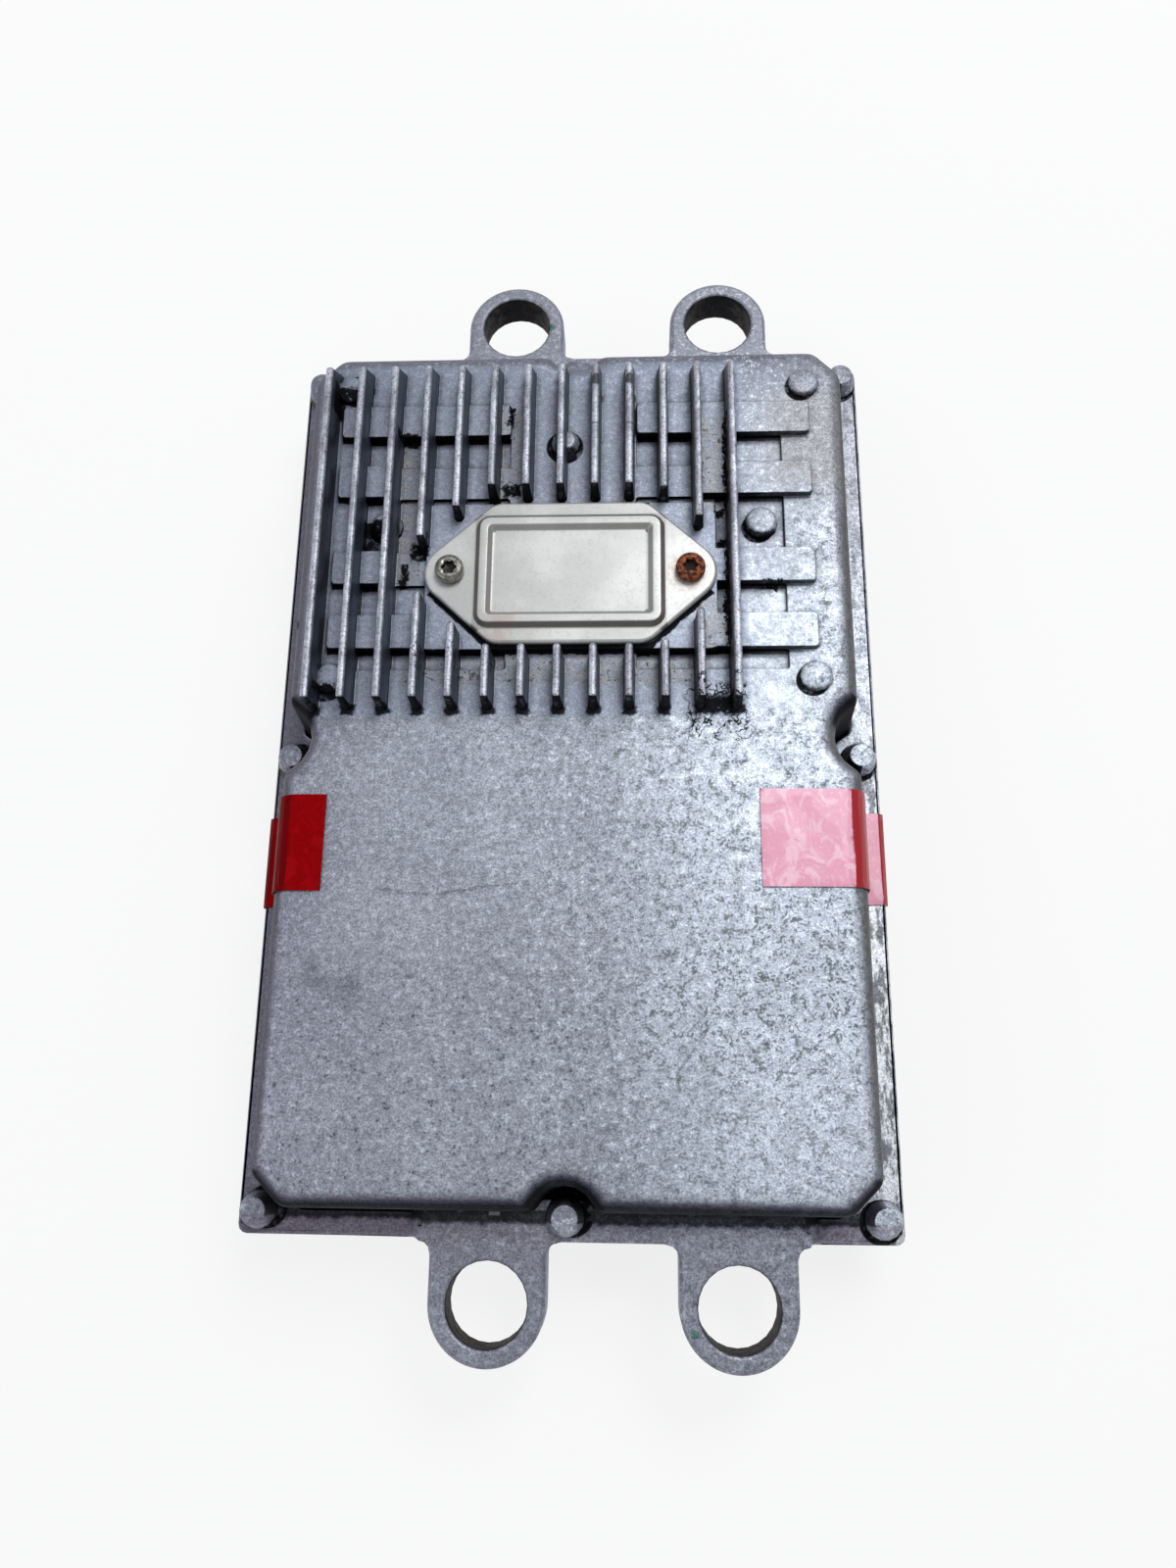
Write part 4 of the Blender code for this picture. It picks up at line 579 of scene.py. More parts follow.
# %% Shade the walls of the body
turned = cast.between(cast.facing_z, 0.985, 0.78)
steep = cast.between(cast.facing_z, 0.96, 0.6)
inside_body = cast.box(-74.5, 74.5, -113.0, 114.0, 0.6)
body_wall = turned * inside_body * cast.band(cast.z, FLANGE_TOP + 0.2, BODY_TOP - 0.12, 0.12)
near_wall = body_wall * cast.between(cast.facing_y, -0.08, -0.35)
near_wall_shade_colour = cast.blend(steep, tone(90, 90, 108), tone(15, 15, 22))
right_wall = body_wall * cast.between(cast.facing_x, 0.15, 0.6)
right_wall_shade_colour = cast.blend(steep, tone(132, 135, 140), tone(64, 61, 62))
left_wall = body_wall * cast.between(cast.facing_x, -0.08, -0.4)
left_wall_shade_colour = cast.blend(steep, tone(112, 110, 126), tone(60, 56, 69))
far_wall = body_wall * cast.between(cast.facing_y, 0.08, 0.4)
# Painted shade on the body's walls, darkest on the near side and at the foot.
skin = cast.blend(body_wall * 0.35, skin, tone(92, 94, 104))
skin = cast.blend(far_wall * 0.6, skin, tone(98, 100, 114))
skin = cast.blend(right_wall * 0.85, skin, right_wall_shade_colour)
skin = cast.blend(left_wall * 0.85, skin, left_wall_shade_colour)
skin = cast.blend(near_wall * 0.9, skin, near_wall_shade_colour)
# Painted highlight along the top of the rounded shoulder.
shoulder_highlight = cast.band(cast.facing_z, 0.965, 0.99, 0.01) * inside_body
shoulder_highlight = shoulder_highlight * cast.between(cast.z, BODY_TOP, BODY_TOP - 0.1)
shoulder_highlight = shoulder_highlight * cast.between(cast.facing_x, -0.05, 0.1)
skin = cast.blend(shoulder_highlight * 0.3, skin, tone(205, 208, 218))
print("walls shaded")

# %% Tint the flange and the ears
low_level = cast.between(cast.z, EAR_TOP + 1.0, EAR_TOP + 0.2)
on_flange = cast.between(cast.z, FLANGE_TOP + 0.7, FLANGE_TOP + 0.3)
near_flange = low_level * cast.between(cast.y, -112.6, -113.4) * cast.between(cast.y, -136.0, -112.0)
skin = cast.blend(near_flange * (0.4 + 0.35 * on_flange), skin, tone(112, 98, 116))
left_flange = on_flange * cast.between(cast.x, -71.0, -74.0)
skin = cast.blend(left_flange * 0.75, skin, tone(98, 95, 109))
# Painted highlight: light streaks on the right flange with dark specks between, strongest on its near half.
right_flange = on_flange * cast.between(cast.x, 71.5, 74.0) * (0.4 + 0.6 * up)
flange_streaks = cast.noise(4.5, 4.0, 0.7, stretch=(1.6, 0.5, 1), shift=23.0)
flange_highlight_colour = cast.blend(cast.between(flange_streaks, 0.44, 0.54), tone(104, 108, 114), tone(230, 235, 242))
skin = cast.blend(right_flange * (0.3 + 0.55 * cast.between(cast.y, 30.0, -20.0)), skin, flange_highlight_colour)
far_corner = cast.box(58.0, 76.0, 66.0, 116.0, 8.0) * up
skin = cast.blend(far_corner * 0.4, skin, tone(140, 145, 155))
ear_place = low_level * cast.between(abs(cast.y + 1.0), 116.0, 122.0)
ear_colour = cast.blend(cast.between(cast.y, -1.0, 1.0), tone(112, 112, 126), tone(156, 160, 170))
skin = cast.blend(ear_place * 0.4, skin, ear_colour)
print("flange tinted")

# %% [markdown]
# ## Painted shade in the corners and below the steps
#
# Shade falls where a surface is shut in: along every step of the relief, round the domes and bosses and
# at the feet of the fins. Ambient occlusion measures just that, so it paints a thin dark line of shade in
# every inner corner without any list of places. On top of it come the walls that face the near end, which
# the photograph shows almost black; they are painted black, as shade.

# %% Paint shade into the corners and black shade on the walls that face the near end
openness = cast.node(
    "ShaderNodeAmbientOcclusion",
    {"samples": 6, "only_local": True},
    {"Distance": 2.2 * MM},
    "AO",
)
# Painted shade: darker wherever ambient occlusion finds an inner corner.
corner_shade = cast.between(openness + (ragged - 0.5) * 0.3, 0.95, 0.50)
skin = cast.blend(corner_shade * 0.8, skin, tone(44, 47, 57))

# Painted shade: the near-facing walls of the relief, the fins' near ends, the foot of the body's walls and
# a line along the near foot turn black.
near_facing = cast.between(cast.facing_y, -0.35, -0.7)
relief_wall = near_facing * cast.box(-68.0, 66.0, FIN_NEAR_Y - 1.5, 106.0, 1.0)
relief_wall = relief_wall * cast.between(cast.z, BODY_TOP - 1.4, BODY_TOP - 1.0)
black = relief_wall * (0.75 + 0.25 * cast.between(ragged, 0.3, 0.5)) * cast.between(cast.x, 92.0, 40.0)
end_wobble = (ragged - 0.5) * 2.6
fin_end = cast.between(from_fin + end_wobble, 2.3, 1.3)
fin_end = fin_end * cast.band(cast.y + end_wobble, FIN_NEAR_Y - 0.8, FIN_NEAR_Y + 0.9, 0.7)
fin_end = fin_end * cast.box(-67.0, 43.5, 0.0, 20.0, 0.5)
fin_end = fin_end * cast.between(cast.z, BODY_TOP + 4.2, BODY_TOP + 2.6)
black = black.either(fin_end * 0.95)
wall_foot = body_wall * cast.between(cast.z, FLANGE_TOP + 6.0, FLANGE_TOP + 1.0)
foot_side = cast.between(cast.facing_y, -0.2, -0.6) + 0.35
black = black.either(wall_foot * foot_side)
foot_line = cast.band(cast.y + (ragged - 0.5) * 2.6, -113.3, -111.5, 1.3)
foot_line = foot_line * cast.band(cast.x, -69.0, 69.0, 2.0)
foot_line = foot_line * cast.between(cast.z, EAR_TOP + 1.2, EAR_TOP + 0.4)
black = black.either(foot_line * 0.85)
print("corners darkened")

# %% Paint a black shadow below each row of bars
ROW_SHADOWS = [
    (-61.9, -17.0, 83.95),
    (17.0, 61.5, 83.95),
    (-61.9, -46.9, 66.05),
    (37.0, 61.5, 66.05),
    (-61.9, -46.9, 41.25),
    (37.0, 61.5, 41.25),
    (-61.9, 58.0, 23.35),
]
# Painted shadow: a black line and a softer dark haze below each row of bars.
below_bars = cast.between(cast.z, BAR_TOP - 0.3, BAR_TOP - 0.6)
row_wobble = (ragged - 0.5) * 1.1
row_shadow = None
for x0, x1, edge in ROW_SHADOWS:
    strip = cast.band(cast.x, x0, x1, 0.2) * cast.band(cast.y + row_wobble, edge - 0.9, edge + 0.6, 0.3)
    soft_shadow = cast.band(cast.x, x0, x1, 0.6) * cast.band(cast.y, edge - 1.4, edge + 0.6, 1.6) * 0.38
    strip = strip.either(soft_shadow)
    row_shadow = strip if row_shadow is None else row_shadow.either(strip)
black = black.either(row_shadow * below_bars * cast.between(cast.x, 78.0, 34.0))
print("rows:", len(ROW_SHADOWS))

# %% Leave a dark crescent of dirt and painted shadow beside each dome and boss
CRESCENTS = [
    (-58.9, 99.0, 4.9, BODY_TOP),
    (60.1, 98.2, 4.2, BODY_TOP),
    (-52.8, 55.6, 4.6, BODY_TOP),
    (47.8, 57.3, 4.3, BODY_TOP),
    (-61.5, 14.2, 4.7, BODY_TOP),
    (60.1, 14.9, 4.3, BODY_TOP),
    (-2.3, 81.0, 5.0, BODY_TOP),
    (-72.9, -111.6, 5.3, FLANGE_TOP),
    (74.3, -112.9, 5.3, FLANGE_TOP),
    (74.7, 0.7, 5.2, FLANGE_TOP),
    (-73.6, 1.2, 5.2, FLANGE_TOP),
    (74.6, 114.5, 5.1, FLANGE_TOP),
    (1.4, -111.3, 5.7, EAR_TOP),
]
# Dirt and painted shadow: a dark ring on the floor round each dome and boss.
for x, y, radius, level in CRESCENTS:
    near_floor = cast.between(cast.z, level + 1.3, level + 0.6)
    foot_dirt_and_shadow = cast.disc((x, y), radius - 0.3, 0.35) * near_floor
    black = black.either(foot_dirt_and_shadow * (0.55 + 0.45 * cast.between(ragged, 0.35, 0.5)))
print("crescents:", len(CRESCENTS))

# %% [markdown]
# ## Stains, and the shadow under the cover, in the places where the photograph has them
#
# Each stain is a soft shape at a measured place, broken up by noise so that it doesn't look drawn. The
# black patches are boxes, and the painted shadow line under the cover follows its outline.

# %% Paint the shadow line under the cover, and draw other black patches
COVER_SHADOW = [
    ((-20.3, 23.2), (19.7, 23.2), 0.9),
    ((19.7, 23.2), (35.5, 38.3), 0.5),
    ((-20.3, 23.2), (-36.2, 38.3), 0.5),
    ((-20.3, 63.3), (19.7, 63.3), 0.3),
]
wobble = (ragged - 0.5) * 1.6
under_cover = cast.between(cast.z, BAR_TOP + 0.4, BAR_TOP)
# Painted shadow along the cover's edges.
for start, end, width in COVER_SHADOW:
    black = black.either(cast.line(start, end, width, 0.5, wobble) * under_cover)

BLACK_PATCHES = [
    (-64.8, -57.6, 95.2, 98.9, 0.5),
    (-64.6, -62.4, 90.5, 97.0, 0.8),
    (-45.8, -41.4, 82.2, 84.4, 0.5),
    (-53.4, -48.2, 53.8, 58.8, 0.5),
    (-64.4, -59.2, 11.6, 13.6, 0.7),
    (-41.6, -37.4, 48.8, 53.4, 0.9),
    (-44.0, -42.6, 41.0, 47.0, 0.6),
    (-17.2, -16.2, 87.2, 93.2, 0.4),
    (-18.0, -14.0, 66.8, 69.8, 0.7),
    (37.0, 38.6, 60.4, 62.6, 0.5),
    (37.8, 39.6, 51.6, 53.8, 0.5),
    (39.3, 40.0, 62.0, 88.0, 0.4),
    (39.1, 39.9, 24.0, 50.0, 0.4),
    (31.6, 41.6, 6.9, 10.2, 1.5),
    (48.4, 52.8, 40.1, 41.3, 0.5),
    (-73.0, -70.8, 30.6, 32.6, 0.3),
]
chewed = cast.between(ragged * 0.6 + grain * 0.4, 0.36, 0.46)
torn = (cast.noise(1.8, 4.0, 0.7, shift=47.0) - 0.5) * 4.5
patches = None
for x0, x1, y0, y1, soft in BLACK_PATCHES:
    shape = cast.band(cast.x + torn, x0, x1, soft) * cast.band(cast.y + torn, y0, y1, soft)
    patches = shape if patches is None else patches.either(shape)
patches = patches * cast.between(cast.z, FIN_TOP - 2.5, FIN_TOP - 3.5)
black = black.either(patches * (0.12 + 0.88 * chewed))
print("black patches:", len(BLACK_PATCHES))

# %% Add the beige dirt in the gutters
dirt_noise = cast.noise(2.2, 4.0, 0.7, shift=53.0)
dirt_wobble = (cast.noise(7.0, 3.0, 0.6, shift=59.0) - 0.5) * 5.0
floor_only = up * cast.between(cast.z, BAR_TOP + 1.0, BAR_TOP + 0.3)
BEIGE = [
    (-45.4, -39.8, 42.0, 82.0, 1.6),
    (33.8, 39.8, 62.0, 88.0, 1.6),
    (33.0, 39.8, 22.0, 36.0, 2.0),
    (-19.2, -14.2, 66.0, 91.0, 1.2),
    (-42.0, 34.0, 15.0, 20.5, 1.8),
]
dirt = None
for x0, x1, y0, y1, soft in BEIGE:
    patch = cast.band(cast.x + dirt_wobble * 0.4, x0, x1, 1.2)
    patch = patch * cast.band(cast.y + dirt_wobble, y0, y1, soft)
    dirt = patch if dirt is None else dirt.either(patch)
dirt = dirt * floor_only * cast.between(dirt_noise, 0.36, 0.54)
dirt_colour = cast.blend(cast.between(dirt_noise, 0.4, 0.62), tone(112, 112, 113), tone(152, 152, 151))
skin = cast.blend(dirt * 0.65, skin, dirt_colour)
black = black.either(dirt * cast.between(flecks, 0.56, 0.63) * 0.75)
warm = cast.box(55.0, 68.0, 72.0, 92.0, 8.0) * up
skin = cast.blend(warm * 0.4, skin, tone(146, 142, 138))
print("dirty places:", len(BEIGE))

# %% Scratches, smudges, cobweb lines and small coloured marks
SCRATCHES = [
    [(-45.8, -37.6), (-38.0, -38.9), (-30.0, -38.9), (-18.0, -37.0), (-9.0, -36.2)],
    [(33.5, -68.5), (31.8, -71.3), (25.6, -80.0), (26.1, -83.7)],
    [(41.3, -71.9), (42.2, -74.0), (44.1, -75.1), (47.1, -72.7)],
    [(43.2, -76.6), (45.7, -79.2)],
    [(-37.8, -58.8), (-34.8, -58.8)],
]
hair = (cast.noise(3.0, 3.0, 0.65, shift=61.0) - 0.5) * 3.2
scratch = None
for points in SCRATCHES:
    for start, end in zip(points, points[1:]):
        drawn = cast.line(start, end, 0.14, 0.35, hair)
        scratch = drawn if scratch is None else scratch.either(drawn)
on_top = cast.between(cast.z, BODY_TOP - 1.0, BODY_TOP - 0.5)
skin = cast.blend(scratch * on_top * 0.5, skin, tone(80, 82, 88))
brown_run = cast.line((54.2, 34.4), (54.2, 41.0), 0.3, 0.6, hair * 0.5)
skin = cast.blend(brown_run * on_top * 0.55, skin, tone(92, 86, 78))

SMUDGES = [
    ((-60.1, -55.3), 1.4, 1.6),
    ((-59.3, -58.9), 1.8, 1.9),
    ((-50.9, -61.6), 1.2, 4.5),
    ((-57.0, -60.6), 0.8, 1.6),
]
for centre, radius, soft in SMUDGES:
    skin = cast.blend(cast.disc(centre, radius, soft) * 0.34, skin, tone(74, 78, 92))
cobweb_noise = abs(cast.noise(7.0, 3.0, 0.7, shift=67.0) - 0.5)
cobweb_place = cast.box(30.0, 43.0, 0.5, 13.0, 2.5).either(cast.box(-40.0, -14.0, 16.0, 21.5, 1.5) * 0.7)
cobweb = cast.between(cobweb_noise, 0.022, 0.008) * cobweb_place * on_top
black = black.either(cobweb * 0.95)
green = cast.disc((-7.9, 131.3), 0.9, 0.5).either(cast.disc((29.7, -136.9), 0.8, 0.5))
skin = cast.blend(green * 0.7, skin, tone(40, 105, 84))
chip = cast.box(-17.8, -15.6, -112.0, -111.6, 0.4).either(cast.disc((27.3, -133.1), 0.6, 0.3))
print("scratches:", len(SCRATCHES), "smudges:", len(SMUDGES))

# %% Colour the ear bores brown to black, darkest on the walls that face the near end
bore = None
for centre in EARS:
    inside = cast.disc(centre, EAR_BORE_RADIUS + 0.12, 0.1)
    bore = inside if bore is None else bore.either(inside)
bore = bore * cast.between(abs(cast.facing_z), 0.7, 0.4)
bore_colour = cast.blend(cast.between(ragged, 0.35, 0.62), tone(22, 20, 20), tone(76, 70, 63))
# Darker on the bore walls that face the near end.
near_facing_bore_wall = cast.between(cast.facing_y + (ragged - 0.5) * 0.6, -0.7, -0.95)
bore_colour = cast.blend(near_facing_bore_wall * 0.85, bore_colour, tone(8, 8, 9))
skin = cast.blend(bore * 0.92, skin, bore_colour)
print("bores:", len(EARS))

# %% Finish the casting's shader
fine = cast.between(cast.noise(0.5, 2.0, 0.6, shift=71.0) * 0.6 + flecks * 0.4, 0.38, 0.62)
skin = cast.vector("SCALE", {0: skin, "Scale": 1.0 + (fine - 0.5) * (0.62 - 0.24 * calm)})
# black holds painted shade and shadow lines as well as black dirt and cobwebs.
skin = cast.blend(black * 0.96, skin, tone(7, 7, 10))
skin = cast.blend(chip * 0.35, skin, tone(215, 215, 220))
matt = black.either(bore).either(near_wall * steep)
cast.shade(Base_Color=skin, Metallic=0.5 + 0.42 * matt, Roughness=0.42 + 0.16 * blotches + 0.3 * matt)
cast.rough_surface(grain * 0.35 + blotches * 0.9 + 0.6 * clouds, 0.10)
print("casting's nodes:", len(cast.tree.nodes))

# %% [markdown]
# ## Round ears, bosses and domes
#
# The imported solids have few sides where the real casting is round. Each ring of corners on an ear, a boss
# or a dome is found by its radius and height, divided, and put on a true circle. The domes are a little
# lower and rounder than in the solids, and the boss at the far end is kept low, because it doesn't show
# in the photograph.

# %% Cast the housing
EAR_RINGS = [(12.8, EAR_TOP), (13.7, 20.2), (13.7, 29.3)]
BOSS_TOP_RADIUS = 3.1
BOSS_HEIGHT = 5.6
BOSS_SHOULDER = (3.633, 4.032)
DOME_SHOULDER = (3.0, 2.24)
DOME_TOP_RADIUS = 2.4
DOME_HEIGHT = 2.8
HOUSING_EDGE = 0.32
OPEN_DOMES = [(-60.85, 15.75), (60.85, 15.75), (48.6, 58.25), (-60.85, 99.05), (60.85, 99.05)]
BOSSES = [(side * 74.85, y, FLANGE_TOP) for side in (-1, 1) for y in (-112.3, 1.35, 115.0)]
BOSSES.append((0.0, -112.3, EAR_TOP))
HIDDEN_BOSS = (0.0, 115.0)
round_places = [(ear, [(*ring, *ring) for ring in EAR_RINGS]) for ear in EARS]
for x, y, foot in BOSSES:
    boss_rings = [(BOSS_SHOULDER[0], foot + BOSS_SHOULDER[1]), (BOSS_TOP_RADIUS, foot + BOSS_HEIGHT)]
    round_places.append(((x, y), [(*ring, *ring) for ring in boss_rings]))
low_rings = [
    (BOSS_SHOULDER[0], EAR_TOP + BOSS_SHOULDER[1], 4.2, EAR_TOP + 0.7),
    (BOSS_TOP_RADIUS, EAR_TOP + BOSS_HEIGHT, 3.3, EAR_TOP + 1.0),
]
round_places.append((HIDDEN_BOSS, low_rings))
dome_rings = [
    (DOME_SHOULDER[0], BODY_TOP + DOME_SHOULDER[1], 3.85, BODY_TOP + 1.2),
    (DOME_TOP_RADIUS, BODY_TOP + DOME_HEIGHT, 3.1, BODY_TOP + 1.75),
]
for dome in OPEN_DOMES:
    round_places.append((dome, dome_rings))
recast(
    "upper_housing",
    "housing_casting",
    cast.material,
    HOUSING_EDGE,
    round_places=round_places,
)

# %% [markdown]
# ## The tray
#
# The tray closes the module from below. It is hidden in the photograph, so it is the same alloy in a
# plain, clean state, with only the fine texture that all castings have.

# %% Cast and round the tray
TRAY_EDGE = 0.3
plain_cast = Finish("plain_casting")
plain_clouds = plain_cast.noise(22.0, 3.0)
plain_grain = plain_cast.noise(0.9, 3.0, 0.6)
plain_patches = plain_cast.between(plain_clouds, 0.35, 0.65)
plain_specks = plain_cast.between(plain_grain, 0.52, 0.66) * 0.35
plain_colour = plain_cast.blend(plain_patches, tone(132, 135, 143), tone(154, 157, 165))
plain_colour = plain_cast.blend(plain_specks, plain_colour, tone(100, 104, 109))
plain_cast.shade(Base_Color=plain_colour, Metallic=0.55, Roughness=0.42 + 0.22 * plain_grain)
plain_cast.rough_surface(plain_grain, 0.05)
recast("base_tray", "tray_casting", plain_cast.material, TRAY_EDGE)

# %% [markdown]
# ## The access cover
#
# The cover is pressed from bright sheet and has a warm satin sheen. Shade is painted on the flanks of its
# ridge, in a band beside the ridge and on the sheet's low edge, and a little rust has run from the right
# screw.

# %% Press the cover
SHEET_EDGE = 0.28
SHEET_SHARP = 25.0
RIDGE_HALF = (21.95, 13.45)
sheet = Finish("satin_sheet")
sheet_clouds = sheet.noise(16.0, 3.0)
sheet_grain = sheet.noise(0.7, 3.0, 0.7)
sheet_patches = sheet.between(sheet_clouds, 0.35, 0.65)
sheet_colour = sheet.blend(sheet_patches, tone(184, 185, 184), tone(201, 202, 201))
sheet_colour = sheet.blend(sheet.between(sheet_grain, 0.52, 0.66) * 0.35, sheet_colour, tone(158, 158, 157))
corner = sheet.disc((-17.5, 26.0), 2.0, 9.0) * sheet.between(sheet.noise(5.0, 3.0, shift=9.0), 0.4, 0.6)
sheet_colour = sheet.blend(corner * 0.5, sheet_colour, tone(168, 148, 138))
rust_ring = sheet.disc((COVER_SCREWS["right"][0] - 1.0, COVER_SCREWS["right"][1] - 0.8), 4.2, 1.6)
rust_run = rust_ring.either(sheet.line((25.5, 40.5), (28.5, 42.0), 1.2, 1.4) * 0.9)
rust_run = rust_run * sheet.between(sheet.noise(2.2, 4.0, 0.7, shift=5.0), 0.36, 0.6)
sheet_colour = sheet.blend(rust_run * 0.42, sheet_colour, tone(151, 118, 82))
beyond_ridge_x = abs(sheet.x - COVER_MIDDLE[0]) - RIDGE_HALF[0]
beyond_ridge_y = abs(sheet.y - COVER_MIDDLE[1]) - RIDGE_HALF[1]
beyond_ridge = beyond_ridge_x.either(beyond_ridge_y)
# Painted shade on the ridge's flanks and beside it, and along the cover's low edge.
sloping = sheet.between(sheet.facing_z, 0.97, 0.80)
outer_flank_shade = sloping * sheet.band(beyond_ridge, 0.2, 2.6, 0.3)
inner_flank_shade = sloping * sheet.band(beyond_ridge, -2.6, -0.2, 0.3)
sheet_colour = sheet.blend(outer_flank_shade * 0.85, sheet_colour, tone(92, 86, 82))
sheet_colour = sheet.blend(inner_flank_shade * 0.55, sheet_colour, tone(128, 122, 118))
ridge_side_shade = sheet.band(beyond_ridge, 1.3, 2.2, 0.5)
sheet_colour = sheet.blend(ridge_side_shade * 0.4, sheet_colour, tone(108, 102, 98))
low_edge_shade = sheet.between(sheet.z, COVER_TOP - 0.55, COVER_TOP - 1.1)
sheet_colour = sheet.blend(low_edge_shade * 0.85, sheet_colour, tone(44, 42, 42))
sheet.shade(Base_Color=sheet_colour, Metallic=0.45, Roughness=0.36 + 0.14 * sheet_grain)
sheet.rough_surface(sheet_grain * 0.4 + sheet_clouds, 0.03)
recast("access_cover", "cover_pressing", sheet.material, SHEET_EDGE, SHEET_SHARP)

# %% [markdown]
# ## Screws
#
# A pan head with a six-lobed recess is turned from a profile: each ring has a radius, a height, and how
# deep its lobes are. The same function makes the two cover screws and the eight small ones under the
# tray's rim, which point the other way.


# %% Turn a lobed screw
def lobed_screw(name, new_name, centre, seat, facing, sizes, sides, slot, material):
    """A pan head screw with a six-lobed recess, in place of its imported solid.

    The sizes are the shank's radius and length, then the head's radius and height.
    """
    shank, length, head, height = sizes
    recess = head * 0.47
    profile = [
        (shank * 0.8, -length, 0.0),
        (shank, -length + shank * 0.3, 0.0),
        (shank, 0.0, 0.0),
        (head * 0.96, 0.0, 0.0),
        (head, height * 0.12, 0.0),
        (head, height * 0.6, 0.0),
        (head * 0.96, height * 0.8, 0.0),
        (head * 0.86, height * 0.95, 0.0),
        (head * 0.74, height, 0.0),
        (recess * 1.12, height, 0.09),
        (recess, height * 0.93, 0.13),
        (recess * 0.93, height * 0.42, 0.14),
        (recess * 0.3, height * 0.34, 0.0),
    ]
    screw = bmesh.new()
    rings = []
    for radius, rise, lobe in profile:
        ring = []
        for i in range(sides):
            angle = 2 * math.pi * i / sides
            reach = radius * (1 + lobe * math.cos(6 * angle))
            x = centre[0] + reach * math.cos(angle)
            y = centre[1] + reach * math.sin(angle)
            ring.append(screw.verts.new((x * MM, y * MM, (seat + facing * rise) * MM)))
        rings.append(ring)
    for lower, upper in zip(rings, rings[1:]):
        for i in range(sides):
            j = (i + 1) % sides
            screw.faces.new((lower[i], lower[j], upper[j], upper[i]))
    screw.faces.new(list(reversed(rings[0])))
    screw.faces.new(rings[-1])
    bmesh.ops.recalc_face_normals(screw, faces=screw.faces)
    mesh = bpy.data.meshes.new(new_name)
    screw.to_mesh(mesh)
    screw.free()
    mesh.shade_smooth()
    mesh.set_sharp_from_angle(angle=math.radians(45))
    stand_in(mesh, new_name, name, material)


# %% Finish and place the cover's screws
def screw_metal(name, centre, bright, dull, dark, metallic, rough):
    """Metal with painted shade in the recess, on the rim of the head and under it."""
    metal = Finish(name)
    grain = metal.noise(0.9, 3.0, 0.7)
    colour = metal.blend(metal.between(grain, 0.42, 0.58), dull, bright)
    if centre:
        # Painted shade: black in the recess, a dark ring on the rim of the head, and dark under it.
        inside = metal.disc(centre, 1.75, 0.25) * metal.between(metal.z, COVER_TOP + 2.9, COVER_TOP + 2.3)
        head_ring_shade = metal.ring(centre, 2.75, 2.95, 0.35) * 0.45
        low = metal.between(metal.z, COVER_TOP + 1.2, COVER_TOP + 0.4)
        colour = metal.blend((inside.either(head_ring_shade)).either(low) * 0.95, colour, dark)
    metal.shade(Base_Color=colour, Metallic=metallic, Roughness=rough)
    metal.rough_surface(grain, 0.03)
    return metal.material


ZINC_TONES = (tone(158, 156, 149), tone(118, 116, 109), tone(13, 12, 11))
RUST_TONES = (tone(166, 88, 50), tone(56, 27, 18), tone(15, 9, 8))
PLAIN_TONES = (tone(178, 177, 172), tone(150, 149, 145), tone(40, 40, 40))
zinc = screw_metal("clean_zinc", COVER_SCREWS["left"], *ZINC_TONES, 0.6, 0.35)
rust = screw_metal("rusty_steel", COVER_SCREWS["right"], *RUST_TONES, 0.15, 0.8)
plain_zinc = screw_metal("plain_zinc", None, *PLAIN_TONES, 0.8, 0.38)
COVER_SIZES = (1.9, 7.5, 3.7, 2.6)
COVER_SCREW_SIDES = 48
cover_seat = COVER_TOP + 0.3
for side, name, slot, metal in (
    ("left", "clean_screw", "zinc_screws", zinc),
    ("right", "rusted_screw", "rusty_screw", rust),
):
    centre = COVER_SCREWS[side]
    node_name = "cover_screw_" + side
    lobed_screw(node_name, name, centre, cover_seat, 1, COVER_SIZES, COVER_SCREW_SIDES, slot, metal)

# %% Place the tray's screws
TRAY_SIZES = (1.9, 9.0, 3.5, 2.4)
TRAY_SCREW_SIDES = 36
for name in sorted(nodes):
    if name.startswith("tray_screw_"):
        low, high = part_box(name)
        centre = ((low[0] + high[0]) / 2 / MM, (low[1] + high[1]) / 2 / MM)
        seat = low[2] / MM + TRAY_SIZES[3]
        new_name = name.replace("tray_screw", "rim_screw")
        look = ("zinc_screws", plain_zinc)
        lobed_screw(name, new_name, centre, seat, -1, TRAY_SIZES, TRAY_SCREW_SIDES, *look)

# %% [markdown]
# ## Sealing tape
#
# The tape is a thin red film. Where it lies flat it mirrors the light, so a pink reflection is painted
# into its colour, and down the wall it shows its own deep red, so the colour follows the way the surface
# faces. The left strip is deep red all over, painted a little lighter where it lies flat. Both carry fine
# wrinkles with painted highlights.


# %% Lay the tapes
def film(name, flat_reflection_colour, wall_colour, wrinkle_highlight_colour, wrinkle_highlight_amount, coat, gloss):
    """A creased glossy film, with a painted reflection where it lies flat and painted highlights on its
    creases.
    """
    tape = Finish(name)
    crease = tape.noise(4.5, 4.0, 0.6, stretch=(1, 0.7, 1), distortion=1.2)
    fleck = tape.noise(1.1, 3.0, 0.6, shift=3.0)
    # Painted reflection where the film lies flat, and painted highlights along its creases.
    lying = tape.between(tape.facing_z + (fleck - 0.5) * 0.04, 0.945, 0.985)
    colour = tape.blend(lying, wall_colour, flat_reflection_colour)
    shine = tape.between(crease, 0.48, 0.62).either(tape.between(fleck, 0.58, 0.66) * 0.7)
    colour = tape.blend(shine * lying * wrinkle_highlight_amount, colour, wrinkle_highlight_colour)
    tape.shade(Base_Color=colour, Roughness=0.3 + 0.15 * crease, Coat_Weight=coat, Specular_IOR_Level=gloss)
    tape.rough_surface(crease + 0.2 * fleck, 0.12)
    return tape.material


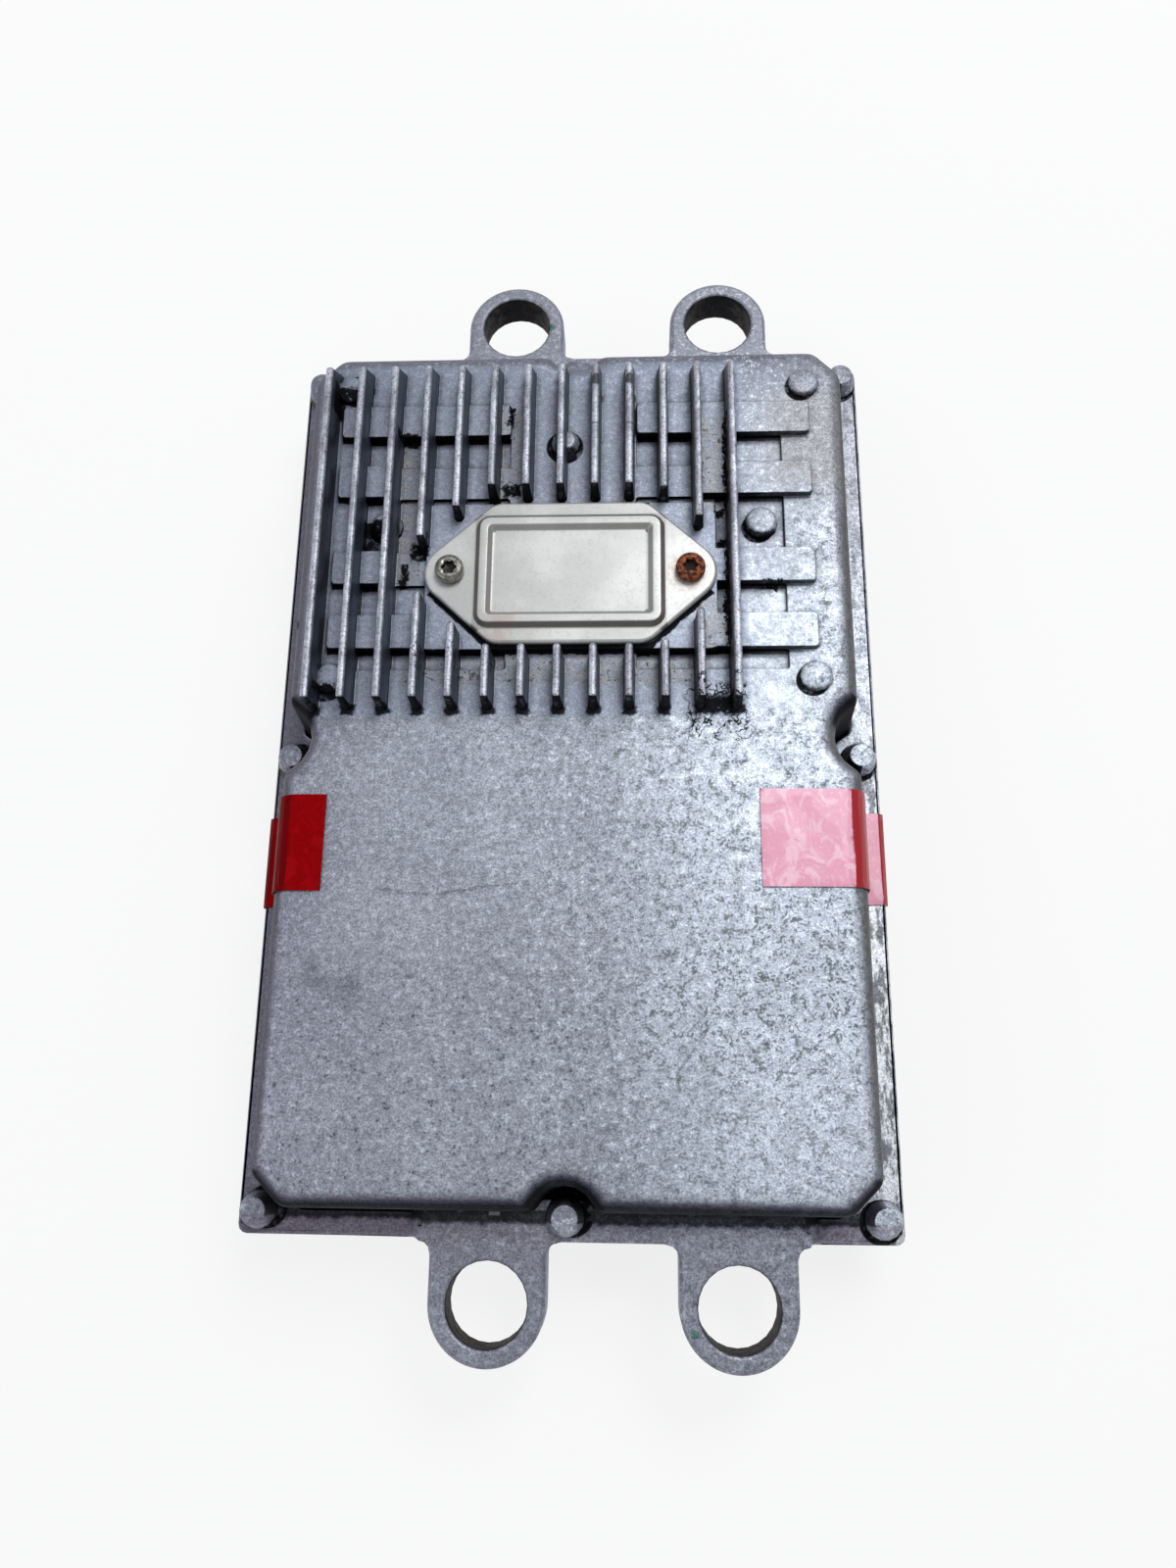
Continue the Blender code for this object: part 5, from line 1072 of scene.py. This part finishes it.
TAPE_EDGE = 3.0
TAPE_CUTS = 11
WAVES = 0.16
WAVE_HEIGHT = 0.10


def lay_tape(name, new_name, material, seed):
    """A finely divided copy of a tape, with small waves in it."""
    strip = bmesh.new()
    strip.from_mesh(nodes[name].data)
    bmesh.ops.remove_doubles(strip, verts=strip.verts, dist=WELD)
    long_edges = [one for one in strip.edges if one.calc_length() > TAPE_EDGE * MM]
    bmesh.ops.subdivide_edges(strip, edges=long_edges, cuts=TAPE_CUTS, use_grid_fill=True)
    for vertex in strip.verts:
        wave = noise.noise(vertex.co / MM * WAVES + Vector((seed, 0, 0)))
        vertex.co.z += WAVE_HEIGHT * MM * wave
    mesh = bpy.data.meshes.new(new_name)
    strip.to_mesh(mesh)
    strip.free()
    mesh.shade_smooth()
    mesh.set_sharp_from_angle(angle=math.radians(60))
    stand_in(mesh, new_name, name, material)


# The pink of the right strip is a painted reflection on red film.
pink = film("pink_film", tone(228, 156, 182), tone(160, 0, 20), tone(246, 208, 222), 0.65, 0.2, 0.5)
red = film("red_film", tone(134, 0, 5), tone(104, 0, 4), tone(168, 10, 20), 0.35, 0.0, 0.03)
lay_tape("tape_right", "right_strip", pink, 1.0)
lay_tape("tape_left", "left_strip", red, 8.0)

# %% [markdown]
# ## Moulded plastic, rubber, brass and what is inside
#
# The rest is hidden in the photograph and finished plainly, but never as one flat colour: moulded
# plastic has a faint grain, rubber is dull and mottled, and the boards' green varnish lies over copper
# that shows as slightly lighter areas.


# %% Make the plainer finishes
def grained(name, first, second, size, metallic, low_rough, high_rough, depth):
    """A quiet two-tone finish with a fine grain."""
    made = Finish(name)
    grain = made.noise(size, 3.0, 0.6)
    broad = made.noise(size * 14.0, 2.0, shift=2.0)
    colour = made.blend(made.between(grain * 0.5 + broad * 0.5, 0.4, 0.6), first, second)
    made.shade(Base_Color=colour, Metallic=metallic, Roughness=low_rough + (high_rough - low_rough) * grain)
    made.rough_surface(grain, depth)
    return made.material


moulding = grained("black_moulding", tone(38, 38, 40), tone(48, 48, 51), 0.6, 0.0, 0.42, 0.6, 0.03)
rubber = grained("black_rubber", tone(30, 30, 31), tone(41, 41, 42), 0.8, 0.0, 0.7, 0.9, 0.05)
aluminium_can = grained("drawn_can", tone(150, 152, 156), tone(168, 170, 174), 0.5, 0.85, 0.3, 0.45, 0.01)

board = Finish("green_board")
tracks = board.node(
    "ShaderNodeTexBrick",
    {"offset": 0.5},
    {"Vector": board.place, "Scale": 0.16, "Mortar Size": 0.06, "Bias": 0.0},
    "Fac",
)
varnish = board.blend(tracks * 0.6, tone(28, 88, 58), tone(20, 64, 44))
varnish = board.blend(board.between(board.noise(3.0, 2.0), 0.45, 0.6) * 0.25, varnish, tone(46, 112, 74))
board.shade(Base_Color=varnish, Roughness=0.35 + 0.1 * tracks)

PIN_ROOT = 11.3
PIN_FADE = 0.2
contact = Finish("brass_and_moulding")
pin_grain = contact.noise(0.5, 2.0)
pin_part = contact.between(contact.z, PIN_ROOT + PIN_FADE, PIN_ROOT)
brass = contact.blend(pin_grain, tone(206, 178, 112), tone(226, 202, 140))
dark = contact.blend(pin_grain, tone(34, 34, 36), tone(44, 44, 47))
contact_colour = contact.blend(pin_part, dark, brass)
contact.shade(Base_Color=contact_colour, Metallic=pin_part * 0.85, Roughness=0.5 - 0.2 * pin_part)
print("finishes:", len(bpy.data.materials))

# %% Round the connector header and dress the rest
HEADER_EDGE = 0.25
recast("connector_header", "header_moulding", moulding, HEADER_EDGE)
PLAIN = {
    "perimeter_seal": rubber,
    "header_seal": rubber,
    "cover_gasket": rubber,
    "logic_board": board.material,
    "power_board": board.material,
    "terminal_block": moulding,
    "processor_chip": moulding,
    "driver_chip": moulding,
}
STARTS = {
    "pin_block": contact.material,
    "logic_screw": plain_zinc,
    "power_screw": plain_zinc,
    "capacitor": aluminium_can,
    "choke": moulding,
    "power_transistor": moulding,
}
dressed = 0
for name, node in nodes.items():
    material = PLAIN.get(name)
    for start, finish in STARTS.items():
        if name.startswith(start):
            material = finish
    if material:
        node.data.materials.clear()
        node.data.materials.append(material)
        node.data.shade_smooth()
        node.data.set_sharp_from_angle(angle=math.radians(40))
        dressed += 1
print("nodes dressed:", dressed)
